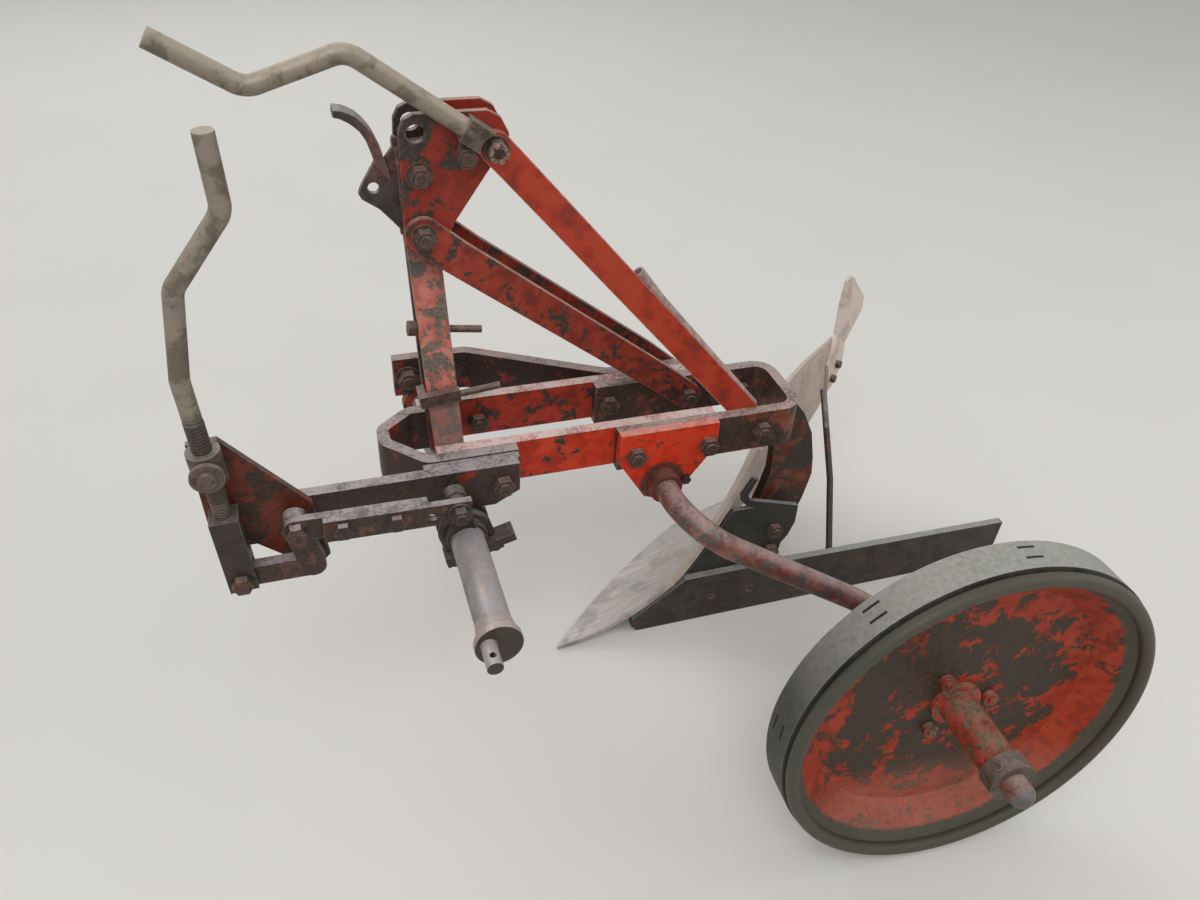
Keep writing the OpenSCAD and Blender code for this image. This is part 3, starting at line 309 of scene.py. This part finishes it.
def scuffs(stretch, gone, most, size_mm=11):
    """Scratches along a piece: fine noise drawn out along the axes whose stretch is small."""
    def share(tree, place, fine):
        drawn_out = add(tree, "Mapping", 0, {"Scale": stretch}, Vector=place)
        marks = add(tree, "TexNoise", 0, {"Scale": 1000 / size_mm, "Detail": 6, "Roughness": 0.6},
                    Vector=drawn_out)
        cut = noise_level(gone)
        return add(tree, "MapRange", 0, {"From Min": cut, "From Max": cut + 0.05, "To Max": most},
                   Value=marks)
    return share


def round_spot(centre, radius, most):
    """Round zone seen from the side, such as grease about an axle or a bolt head on its plate."""
    def share(tree, place, fine):
        return add(tree, "MapRange", 0, {"From Min": 1.08 * radius, "From Max": 0.95 * radius,
                                         "To Max": most}, Value=off_axis(tree, place, [centre]))
    return share


def thread_lines(tree, place, fine):
    """Dark bands in the turns of the levelling screw, a pitch apart, up to a little over the trunnion."""
    turns = add(tree, "TexWave", "Fac", {"bands_direction": "Z", "Scale": PITCH_WAVES}, Vector=place)
    turns = add(tree, "MapRange", 0, {"To Min": 0.95, "To Max": 0.5}, Value=turns)
    low_end = across_piece(tree, place, "Z", 0.65, 0.635)
    return add(tree, "Math", 0, {"operation": "MULTIPLY"}, in0=turns, in1=low_end)


def bead_ring(tree, place, fine):
    """Rolled bead of the disc, bare all round: its inner border is ragged, about 6 mm inside BEAD."""
    ragged = add(tree, "Math", 0, {"operation": "MULTIPLY_ADD", 1: 0.012}, in0=fine,
                 in2=wheel_radius(tree, place))
    return add(tree, "MapRange", 0, {"From Min": BEAD, "From Max": BEAD + 0.003, "To Max": 0.96},
               Value=ragged)


def facing_out(tree, place, fine):
    """Faces square to the hitch shaft, which keep their old dirt."""
    side = add(tree, "SeparateXYZ", "Y", Vector=add(tree, "NewGeometry", "Normal"))
    side = add(tree, "Math", 0, {"operation": "ABSOLUTE"}, in0=side)
    return add(tree, "MapRange", 0, {"From Min": 0.7, "From Max": 0.85, "To Max": 0.95}, Value=side)


# Paint fresh, chalked and sooty, on the bars and on what is darker with age; steel dark and rusty
REDS = ("#bd2b08", "#b8482a", "#84240b")
DEEP_REDS = ("#812a18", "#90402f", "#561e13")
STEELS = ("#312a26", "#4a342a")
finishes = {
    # Near side bar, hot-rolled flat: bright satin red with small chips, bare where spanners turn on the bolts
    "bar_enamel": enamel(
        "enamel_on_rolled_bar", REDS, STEELS, bare=0.2, patch_mm=30, top="#d2bfba", top_share=0.92, seed=1.0,
        zone=bolt_wear, chip=0.645),
    # Far side bar: the same coat, darker and more chipped, seen on its inner face
    "inner_bar_enamel": enamel(
        "enamel_on_far_side_bar", ("#a12c16", "#9b4431", "#68200f"), STEELS, bare=0.3, patch_mm=30,
        top="#c9b8b3", top_share=0.9, seed=1.4, zone=bolt_wear, chip=0.645),
    # Wheel bracket, cut plate: the freshest red of all, dark with grease round the axle's boss
    "bracket_enamel": enamel(
        "enamel_on_wheel_bracket", ("#c92f0e", "#b8482c", "#8e280e"), STEELS, bare=0.1, patch_mm=26,
        top="#d3a396", top_share=0.7, seed=2.0, zone=bolt_wear,
        veils=[("#40312b", round_spot(AXLE_BOSS, 0.031, 0.85)),
               ("#3c2d27", round_spot(SMALL_BOLT, 0.0076, 1.0))]),
    # Far hitch bar, hot-rolled flat: its coat is nearly all gone, so dark steel with a few deep red islands
    "far_bar_enamel": enamel(
        "enamel_on_far_bars", DEEP_REDS, ("#2a211d", "#3f2b25"), bare=0.82, patch_mm=40, top="#b5a09b",
        top_share=0.7, seed=3.0),
    # Front bow, bent flat bar: handled and greased, brown-black with a pale top edge of dust and painted sky
    # light
    "bow_enamel": enamel(
        "enamel_left_on_bent_bar", DEEP_REDS, STEELS, bare=0.86, patch_mm=40, top="#ada09e", top_share=0.8,
        seed=4.0),
    # Rear bow, bent flat bar: faded brick red left on a third of it, dark steel between
    "rear_bow_enamel": enamel(
        "enamel_left_on_rear_bow", ("#74402f", "#84503f", "#4f2b20"), STEELS, bare=0.66, patch_mm=34,
        top="#b09c97", top_share=0.8, seed=4.7, zone=bolt_wear),
    # Near hitch bar and its spacer, hot-rolled flat: dark steel with specks of red, grey dust and painted sky
    # light along the top
    "hitch_enamel": enamel(
        "enamel_left_on_hitch_bar", DEEP_REDS, STEELS, bare=0.95, patch_mm=50, top="#b0a6a7", top_share=0.8,
        seed=5.0),
    # Trunnion plate, cut plate: dull dark red under oil, gone from half of it
    "plate_enamel": enamel(
        "enamel_on_trunnion_plate", ("#672b1b", "#6c3a2c", "#44221a"), ("#2e251e", "#432d24"), bare=0.5,
        patch_mm=36, seed=6.0, fade_share=0.3),
    # Bell crank and link bar, cut flat steel: brown and oily, with a little paint left and pale tops of dust
    # and painted sky light
    "link_enamel": enamel(
        "enamel_left_on_linkage", ("#54362b", "#6b564c", "#3b2a22"), STEELS, bare=0.72, patch_mm=26,
        top="#b0a6a7", top_share=0.8, seed=7.0),
    # Head plates, cut plate: deep red, worn to black at the front corner and round the bolts
    "head_enamel": enamel(
        "enamel_on_head_plate", ("#872817", "#8b3422", "#5c2014"), ("#302a26", "#453a34"), bare=0.12,
        patch_mm=24, seed=8.0, zone=head_wear, fade_share=0.3),
    # Near upright, rolled flat: chalked salmon red in islands on grey steel, which shows plain at its foot
    # and dark at its top
    "upright_enamel": enamel(
        "enamel_on_near_upright", ("#b8685a", "#bf8b7e", "#964f44"), ("#5c544d", "#78675d"), bare=0.5,
        patch_mm=26, seed=9.0,
        veils=[("#3f3934", speckled("Z", 0.7, 0.735, 0.95)), ("#6d635c", speckled("Z", 0.565, 0.545, 0.8))]),
    # Far upright, rolled flat: deep red left on a third of it, dark steel between
    "far_upright_enamel": enamel(
        "enamel_on_far_upright", DEEP_REDS, STEELS, bare=0.7, patch_mm=30, seed=9.6),
    # Near brace, rolled flat: red with black chips all along, and a pale line of dust and painted sky light
    # on its top edge
    "brace_enamel": enamel(
        "enamel_on_near_brace", ("#8f3120", "#964231", "#5f2519"), STEELS, bare=0.3, patch_mm=20,
        top="#c0b0a3", top_share=0.7, seed=10.0),
    # Far brace: the same in deep red, half of it gone
    "far_brace_enamel": enamel(
        "enamel_on_far_brace", DEEP_REDS, STEELS, bare=0.5, patch_mm=24, seed=10.6),
    # Strut, rolled flat: an even satin red with small brown chips and pale edges, worn and with a painted
    # highlight
    "strut_enamel": enamel(
        "enamel_on_strut", ("#a6321c", "#9d4431", "#722a1c"), ("#4f3a2d", "#65443a"), bare=0.07, patch_mm=18,
        top="#b98d80", seed=11.0, chip=0.66, fade_share=0.5, edge="#bdb3a7", edge_share=0.75),
    # Leg, forged: brown-red and near black in large patches
    "leg_enamel": enamel(
        "enamel_on_forged_leg", ("#63301f", "#7b5748", "#45251b"), ("#35312a", "#453329"), bare=0.6,
        patch_mm=50, top="#8f7d76", seed=12.0),
    # Stay, round bar: dark grey with a trace of red
    "stay_enamel": enamel(
        "enamel_left_on_stay", DEEP_REDS, ("#34302c", "#463b35"), bare=0.9, patch_mm=30, seed=12.6),
    # Wheel disc, pressed sheet: its middle scoured to brown, its cone still red, dusty pink at the bottom
    "disc_enamel": enamel(
        "enamel_on_pressed_disc", ("#9f2c0c", "#97472b", "#68260b"), ("#322a20", "#45372a"), bare=0.45,
        patch_mm=40, top="#9c7a6c", top_share=0.3, seed=13.0, zone=disc_wear, chip=0.64, twist=0.1,
        veils=[("#9b6a5a", speckled("Z", 0.15, 0.09, 0.6)), ("#43463b", bead_ring)]),
    # Wheel hub, turned tube: red rubbed through to brown, with earth-green dust and painted sky light on top
    "hub_enamel": enamel(
        "enamel_on_hub_tube", ("#a23a2a", "#a06050", "#5a281c"), ("#54442f", "#72624c"), bare=0.36,
        patch_mm=22, top="#94826c", top_share=0.55, seed=14.0),
    # Bent axle, round bar: old rose paint and grey steel in small patches, its bare end blue-grey
    "axle_enamel": enamel(
        "enamel_on_bent_axle", ("#78443a", "#93756f", "#52362e"), ("#4a4340", "#5d504a"), bare=0.4,
        patch_mm=20, top="#b09e9a", top_share=0.6, seed=15.0,
        veils=[("#5c6263", speckled("Y", 0.472, 0.482))]),
    # Sleeve tube on the strut: paint bleached to pink-grey
    "sleeve_enamel": enamel(
        "enamel_faded_on_strut_sleeve", ("#a28a82", "#b3a198", "#86736a"), ("#7b726a", "#8f857c"), bare=0.4,
        patch_mm=18, top="#c0b6ad", seed=16.0),
    # Cranks, bent round bar: weathered tan-grey, handled smooth, darker in bands where one is threaded
    "crank_steel": iron(
        "forged_crank_rod", base="#887e71", film="#665d51", rust="#8b6549", rub_and_sheen="#c8bdac", film_share=0.36,
        rust_share=0.12, size_mm=34, seed=20.0, metal=0.25, mottle=0.45, veils=[("#38322c", thread_lines)]),
    # Yoke, trunnion and axle collar, forged: dull brown-grey
    "yoke_steel": iron(
        "forged_crank_yoke", base="#5d4f46", film="#41362f", rust="#7d6350", rub_and_sheen="#a3978c", film_share=0.4,
        rust_share=0.14, size_mm=20, seed=21.0, metal=0.2),
    # Latch lever, cut plate: near black with a pale edge, worn and with a painted highlight, rust-pink where
    # the lever leaves the plates
    "latch_steel": iron(
        "latch_plate_steel", base="#45403e", film="#322d2b", rust="#73433a", rub_and_sheen="#a8a3a1", film_share=0.45,
        rust_share=0.08, size_mm=26, seed=22.0, metal=0.25, top_share=0.7,
        veils=[("#80504a", overlap(speckled("X", 0.435, 0.415, 1.0), speckled("Z", 0.815, 0.83, 0.7)))]),
    # Screw box, shaft arm and screw thread, milled and forged block: oily black-brown
    "box_steel": iron(
        "linkage_block_steel", base="#3b332c", film="#2c2621", rust="#583d2f", rub_and_sheen="#8d8682", film_share=0.45,
        rust_share=0.12, size_mm=22, seed=23.0, metal=0.2),
    # Bolts and nuts, cold-headed: dark brown rust, with corners worn by rubbing and given a painted highlight
    "bolt_steel": iron(
        "rusted_bolt_steel", base="#4d3b34", film="#32271f", rust="#744435", rub_and_sheen="#a08d82", film_share=0.4,
        rust_share=0.22, size_mm=8, seed=24.0, metal=0.2),
    # Castle nut at the strut, milled: paler tan than the bolts, so that its slots show
    "nut_steel": iron(
        "pale_castle_nut_steel", base="#80695c", film="#57463b", rust="#875c47", rub_and_sheen="#bba795",
        film_share=0.35, rust_share=0.2, size_mm=9, seed=24.6, metal=0.2),
    # Share, forged and polished by earth: light grey, streaked along the furrow, brown towards its point
    "share_steel": iron(
        "earth_polished_share_steel", base="#a19b96", film="#827b75", rust="#8a7260", rub_and_sheen="#c0bab5",
        film_share=0.4, rust_share=0.05, size_mm=60, seed=25.0, metal=0.3, rough=(0.38, 0.52), top_share=0.5,
        mottle=0.5,
        veils=[("#c3bfbb", scuffs((0.1, 1, 0.4), 0.2, 0.55)), ("#6f665f", scuffs((0.12, 1.3, 0.5), 0.2, 0.5)),
               ("#8a7462", speckled("X", 0.16, 0.26, 0.6))]),
    # Mouldboard, pressed sheet: matt pinkish grey rust film with faint scratches
    "board_steel": iron(
        "mouldboard_back_steel", base="#b1a095", film="#a39388", rust="#98735f", rub_and_sheen="#cbc0b6",
        film_share=0.4, rust_share=0.08, size_mm=60, seed=26.0, metal=0.1, rough=(0.45, 0.62), top_share=0.4,
        mottle=0.6,
        veils=[("#8f8580", scuffs((0.15, 0.4, 1), 0.2, 0.45)),
               ("#8e7362", scuffs((0.6, 0.6, 0.8), 0.12, 0.5, 40))]),
    # Tail piece, pressed sheet: the same, paler
    "tail_steel": iron(
        "tail_piece_steel", base="#c9baae", film="#ae9d91", rust="#a67e66", rub_and_sheen="#ddd4cb", film_share=0.35,
        rust_share=0.06, size_mm=60, seed=27.0, metal=0.1, rough=(0.45, 0.62), top_share=0.4, mottle=0.5),
    # Frog, pressed plate: blue-black with a pale top edge
    "frog_iron": iron(
        "pressed_frog_steel", base="#383734", film="#292825", rust="#4c3a31", rub_and_sheen="#aaa8a8", film_share=0.4,
        rust_share=0.04, size_mm=70, seed=28.0, metal=0.25, top_share=0.7),
    # Landside, rolled bar: dark olive grey, pale on top, with orange rust scratches along its middle
    "land_steel": iron(
        "landside_steel", base="#423d36", film="#302b25", rust="#85502f", rub_and_sheen="#a5a6a0", film_share=0.5,
        rust_share=0.09, size_mm=40, seed=29.0, metal=0.3, top_share=0.85, mottle=0.6,
        veils=[("#8f5a33", overlap(scuffs((0.14, 1, 1.2), 0.16, 0.7, 12),
                                   speckled("X", 0.2, 0.1, 1.0, -0.34)))]),
    # Hitch shaft, drawn tube: smooth grey with a soft shine, tan towards its ends and dark on their faces,
    # with a streak of old yellow paint along the top
    "tube_steel": iron(
        "bare_hitch_tube", base="#8d8786", film="#6a635f", rust="#8f7050", rub_and_sheen="#c8c3c6", film_share=0.35,
        rust_share=0.1, size_mm=44, seed=30.0, metal=0.35, rough=(0.34, 0.5), top_share=0.6, mottle=0.55,
        veils=[("#b98e6e", speckled("Y", 0.24, 0.252, 0.6, SHAFT_MIDDLE)),
               ("#9d918d", speckled("Y", 0.271, 0.2715, 1.0, SHAFT_MIDDLE)), ("#3a3029", facing_out),
               ("#c39a58", overlap(speckled("X", 0.0045, 0.0015, 1.0, SHAFT_STREAK),
                                   speckled("Y", 0.05, 0.04, 1.0, 0.13)))]),
    # Hoop of the land wheel, rolled strip: dry grey-green, pale on top and darker lower down
    "hoop_iron": iron(
        "wheel_hoop_iron", base="#4c4a43", film="#37372f", rust="#66503f", rub_and_sheen="#a9a8a0", film_share=0.5,
        rust_share=0.08, size_mm=70, seed=31.0, metal=0.12, rough=(0.5, 0.7), top_share=0.85, mottle=0.6,
        veils=[("#3c3d36", speckled("Z", 0.42, 0.3, 0.7))]),
    # Black sheets in the hoop's slots: painted shade of the hollow slots, dead matt
    "slot_dark": iron(
        "painted_shade_in_hoop_slots", base="#1e1c19", film="#161412", rust="#2f2620", rub_and_sheen="#35322d", film_share=0.5,
        rust_share=0.05, size_mm=10, seed=32.0, metal=0.0, rough=(0.7, 0.9), top_share=0.1),
}
# Finish of each node; a node that isn't here is a set of bolts
by_node = {
    "side_bar_left": "bar_enamel", "side_bar_right": "inner_bar_enamel", "wheel_bracket": "bracket_enamel",
    "front_bow": "bow_enamel", "rear_bow": "rear_bow_enamel", "hitch_bar_left": "hitch_enamel",
    "hitch_spacer": "hitch_enamel", "hitch_bar_right": "far_bar_enamel", "trunnion_plate": "plate_enamel",
    "bell_crank": "link_enamel", "link_bar": "link_enamel", "mast_plate_left": "head_enamel",
    "mast_plate_right": "head_enamel", "mast_upright_left": "upright_enamel",
    "mast_upright_right": "far_upright_enamel", "brace_left": "brace_enamel",
    "brace_right": "far_brace_enamel", "strut": "strut_enamel", "strut_sleeve": "sleeve_enamel",
    "leg": "leg_enamel", "stay": "stay_enamel", "wheel_disc": "disc_enamel", "wheel_hub": "hub_enamel",
    "axle_collar": "yoke_steel", "wheel_axle": "axle_enamel", "top_crank": "crank_steel",
    "level_crank": "crank_steel", "trunnion": "yoke_steel", "crank_yoke": "yoke_steel",
    "latch_lever": "latch_steel", "screw_box": "box_steel", "shaft_arm": "box_steel", "share": "share_steel",
    "mouldboard": "board_steel", "tail_piece": "tail_steel", "frog": "frog_iron", "landside": "land_steel",
    "cross_shaft": "tube_steel", "wheel_rim": "hoop_iron",
}
for name, node in nodes.items():
    node.data.materials.clear()
    node.data.materials.append(finishes[by_node.get(name, "bolt_steel")])


def surface(name, points, body, finish, loop=True):
    """Piece from a grid of points, shape (n, m, 3) in metres, its first index running round.

    Faces join neighbours in both indices, and the second closes too where loop is true. Points that meet are
    merged.
    """
    n, m = points.shape[:2]
    i, j = np.meshgrid(np.arange(n), np.arange(m if loop else m - 1), indexing="ij")
    a, b = i * m + j, (i + 1) % n * m + j
    c, d = (i + 1) % n * m + (j + 1) % m, i * m + (j + 1) % m
    mesh = bpy.data.meshes.new(name)
    mesh.from_pydata(points.reshape(-1, 3).tolist(), [], np.stack([a, b, c, d], -1).reshape(-1, 4).tolist())
    work = bmesh.new()
    work.from_mesh(mesh)
    bmesh.ops.remove_doubles(work, verts=work.verts, dist=1e-6)
    bmesh.ops.recalc_face_normals(work, faces=work.faces)
    work.to_mesh(mesh)
    work.free()
    piece = bpy.data.objects.new(name, mesh)
    bpy.context.scene.collection.objects.link(piece)
    mesh.materials.append(finishes[finish])
    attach(piece, body)


def turned(radius, height, angle, at, axis):
    """Points of a lathe form on an axis through a point.

    Radius and height in metres are broadcast against the angles. Each point is the axis's point at its height
    plus its radius along the direction of its angle.
    """
    side = axis.orthogonal().normalized()
    front = axis.cross(side)
    radius, height, angle = np.broadcast_arrays(radius, height, angle[:, None])
    return (np.array(at) + radius[..., None] * (np.cos(angle)[..., None] * np.array(side)
                                                + np.sin(angle)[..., None] * np.array(front))
            + height[..., None] * np.array(axis))


def make_thread(name, low, high, core=0.01005, deep=0.0007, pitch=SCREW_PITCH, sunk=0.0004):
    """Screw thread on the levelling rod between two heights from the trunnion.

    The radius is the rod's plus a triangle wave of the height less the angle's share of a turn, one wave a
    pitch. It sinks into the rod at both ends.
    """
    angle = np.linspace(0, 2 * math.pi, 24, endpoint=False)
    height = np.linspace(low, high, int((high - low) / pitch * 6) + 1)[None, :]
    wave = (height / pitch - angle[:, None] / (2 * math.pi)) % 1
    radius = core + deep * (1 - np.abs(2 * wave - 1))
    radius[:, [0, -1]] = core - sunk
    surface(name, turned(radius, height, angle, SCREW_AT, SCREW_AXIS), "crank_screw", "box_steel", loop=False)


# Ends of the thread, from the trunnion's middle: it stops just over where the screw box comes up when the
# hitch shaft is turned right back
THREAD_TOP, TRUNNION_END, THREAD_LOW = 0.058, 0.0205, -0.0475
make_thread("thread_over_trunnion", TRUNNION_END, THREAD_TOP)
make_thread("thread_under_trunnion", THREAD_LOW, -TRUNNION_END)


def make_castle(name, at, axis, body, inner=0.0066, outer=0.0102, rise=0.0068, slots=6, sunk=0.0004):
    """Crown of a castle nut: a ring whose top drops into a slot at every sixth of a turn.

    The section is a closed rectangle round the shank. Its top height is rise, or a fifth of that within 13
    degrees of a slot's middle, and its foot is sunk into the nut.
    """
    step = 2 * math.pi / slots
    half = math.radians(13)
    one_slot = np.array([-half, -half + 0.02, 0, half - 0.02, half, step / 2])
    angle = (np.arange(slots)[:, None] * step + one_slot).ravel()
    in_slot = np.tile([0, 1, 1, 1, 0, 0], slots)[:, None]
    top = np.where(in_slot > 0, 0.2 * rise, rise)
    foot = np.full_like(top, -sunk)
    radius = np.array([inner, outer, outer, inner])[None, :]
    height = np.concatenate([foot, foot, top, top], axis=1)
    surface(name, turned(radius, height, angle, at, axis), body, "nut_steel")


# The strut's nut stands 2.6 mm inside the outermost face of the mast's bolts
NUT_BACK = 0.0026
strut_bolt = HEAD_BOLTS[3]
bolts_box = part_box("mast_bolts")
make_castle("strut_castle_nut", Vector((strut_bolt[0], bolts_box[1][1] - NUT_BACK, strut_bolt[1])),
            Vector((0, 1, 0)), "frame")


def make_hoop_slots(radius=0.25, long=0.023, wide=0.0034, first=39.0, pairs=8, proud=0.00025, sunk=0.0005,
                    rows=(-0.035, -0.0174)):
    """Pairs of narrow slots round the hoop: a flat rectangle carried along its arc, closed at both ends.

    Its corners lie proud of the hoop and sunk in it. rows are the places of a pair along the wheel's axis.
    """
    corner = np.array([(-sunk, -0.5), (proud, -0.5), (proud, 0.5), (-sunk, 0.5)])
    open_end = np.ones(11)
    open_end[[0, -1]] = 0
    for k in range(pairs):
        for row, middle in enumerate(rows):
            turn = math.radians(first + k * 360 / pairs) + np.linspace(-0.5, 0.5, 9) * long / radius
            turn = np.concatenate([turn[:1], turn, turn[-1:]])
            out = radius + corner[:, :1] * open_end
            along = middle + corner[:, 1:] * wide * open_end
            points = (np.array(WHEEL_AT) + out[..., None] * (np.cos(turn)[:, None] * np.array(WHEEL_UP)
                                                             + np.sin(turn)[:, None] * np.array(WHEEL_FRONT))
                      + along[..., None] * np.array(WHEEL_AXIS))
            # Each slot is a thin black sheet on the hoop: painted shade
            surface(f"hoop_slot_{k + 1}_{row + 1}", points, "wheel", "slot_dark", loop=False)


make_hoop_slots()


def make_set_screw(name, at, axis, body, outer=0.0062, socket=0.0034, proud=0.0034, deep=0.0032, sunk=0.002):
    """Hollow set screw: a turned plug whose socket is a six-sided pit.

    The pit's radius at an angle is its flat's distance over the cosine of the angle from that flat.
    """
    angle = np.linspace(0, 2 * math.pi, 36, endpoint=False)
    flat = socket / np.cos((angle + math.pi / 6) % (math.pi / 3) - math.pi / 6)
    ones = np.ones_like(angle)
    radius = np.stack([0 * ones, outer * ones, outer * ones, outer * 0.9 * ones, flat, flat, 0 * ones],
                      axis=1)
    height = np.array([-sunk, -sunk, proud - 0.0005, proud, proud, proud - deep, proud - deep])[None, :]
    surface(name, turned(radius, height, angle, at, axis), body, "bolt_steel", loop=False)


# Set screw of the axle's collar: its place along the wheel's axis, its distance out and its turn from upright
COLLAR_ALONG = 0.084
COLLAR_OUT = 0.029
SCREW_TURN = math.radians(41)
screw_out = WHEEL_UP * math.cos(SCREW_TURN) + WHEEL_FRONT * math.sin(SCREW_TURN)
make_set_screw("collar_set_screw", WHEEL_AT + WHEEL_AXIS * COLLAR_ALONG + screw_out * COLLAR_OUT, screw_out,
               "axle")


def make_floor(half=9.0):
    """Square sheet under the plough, seen as a pale floor of matt painted board."""
    grid = np.array([[-1, -1, 0], [1, -1, 0], [1, 1, 0], [-1, 1, 0]]) * half
    mesh = bpy.data.meshes.new("floor")
    mesh.from_pydata(grid.tolist(), [], [[0, 1, 2, 3]])
    floor = bpy.data.objects.new("floor", mesh)
    floor.location.z = -0.001
    bpy.context.scene.collection.objects.link(floor)
    mat, tree, shader, place, shifted = new_finish("pale_floor_board")
    cloud = add(tree, "TexNoise", 0, {"Scale": 2.5, "Detail": 3}, Vector=place)
    tint = add(tree, "Mix", 2, {"data_type": "RGBA", 6: "#dddbd7", 7: "#d8d6d1"}, in0=cloud)
    tree.links.new(tint, shader.inputs["Base Color"])
    shader.inputs["Roughness"].default_value = 0.9
    mesh.materials.append(mat)


make_floor()


def lamp(name, place, power, aim=(0, 0, 0.4), size=3.0):
    """Soft square lamp at place, turned to aim at the plough's middle."""
    light = bpy.data.lights.new(name, "AREA")
    light.size, light.energy = size, power
    obj = bpy.data.objects.new(name, light)
    obj.location = place
    obj.rotation_euler = (Vector(aim) - Vector(place)).to_track_quat("-Z", "Y").to_euler()
    bpy.context.scene.collection.objects.link(obj)


lamp("key", (1.6, 2.6, 4.2), 105)
lamp("fill", (-3.4, 1.2, 2.8), 40)
lamp("rim", (1.0, -3.6, 3.0), 40)


def make_studio(lit=0.5, seen=0.88):
    """Pale studio all round: its strength is lit on the plough, and seen to the eye and in reflections."""
    world = bpy.data.worlds.new("studio")
    bpy.context.scene.world = world
    world.use_nodes = True
    sky = world.node_tree
    backing = sky.nodes["Background"]
    path = add(sky, "LightPath", "Is Camera Ray").node
    ray = add(sky, "Math", 0, {"operation": "MAXIMUM"}, in0=path.outputs["Is Camera Ray"],
              in1=path.outputs["Is Glossy Ray"])
    ray = add(sky, "Math", 0, {"operation": "MAXIMUM"}, in0=ray, in1=path.outputs["Is Transmission Ray"])
    sky.links.new(add(sky, "MapRange", 0, {"To Min": lit, "To Max": seen}, Value=ray),
                  backing.inputs["Strength"])
    backing.inputs["Color"].default_value = linear("#fbfaf8")


make_studio()
bpy.context.scene.view_settings.view_transform = "Standard"

# The photograph's camera, fitted to the plough's straight edges
CAMERA_AT = Vector((0.5089, 0.9304, 1.2422))
LOOK = Vector((-0.26942, -0.74309, -0.61257))
ROLL = math.radians(3.687)
SENSOR, FOCAL_PX, IMAGE_WIDE = 36.0, 978.09, 1200


def make_camera():
    """Camera with the fitted place, direction and roll."""
    data = bpy.data.cameras.new("camera")
    data.sensor_width = SENSOR
    data.lens = FOCAL_PX / IMAGE_WIDE * SENSOR
    camera = bpy.data.objects.new("camera", data)
    turn = LOOK.to_track_quat("-Z", "Y").to_matrix().to_4x4() @ Matrix.Rotation(ROLL, 4, "Z")
    camera.matrix_world = Matrix.Translation(CAMERA_AT) @ turn
    bpy.context.scene.collection.objects.link(camera)
    bpy.context.scene.camera = camera


make_camera()
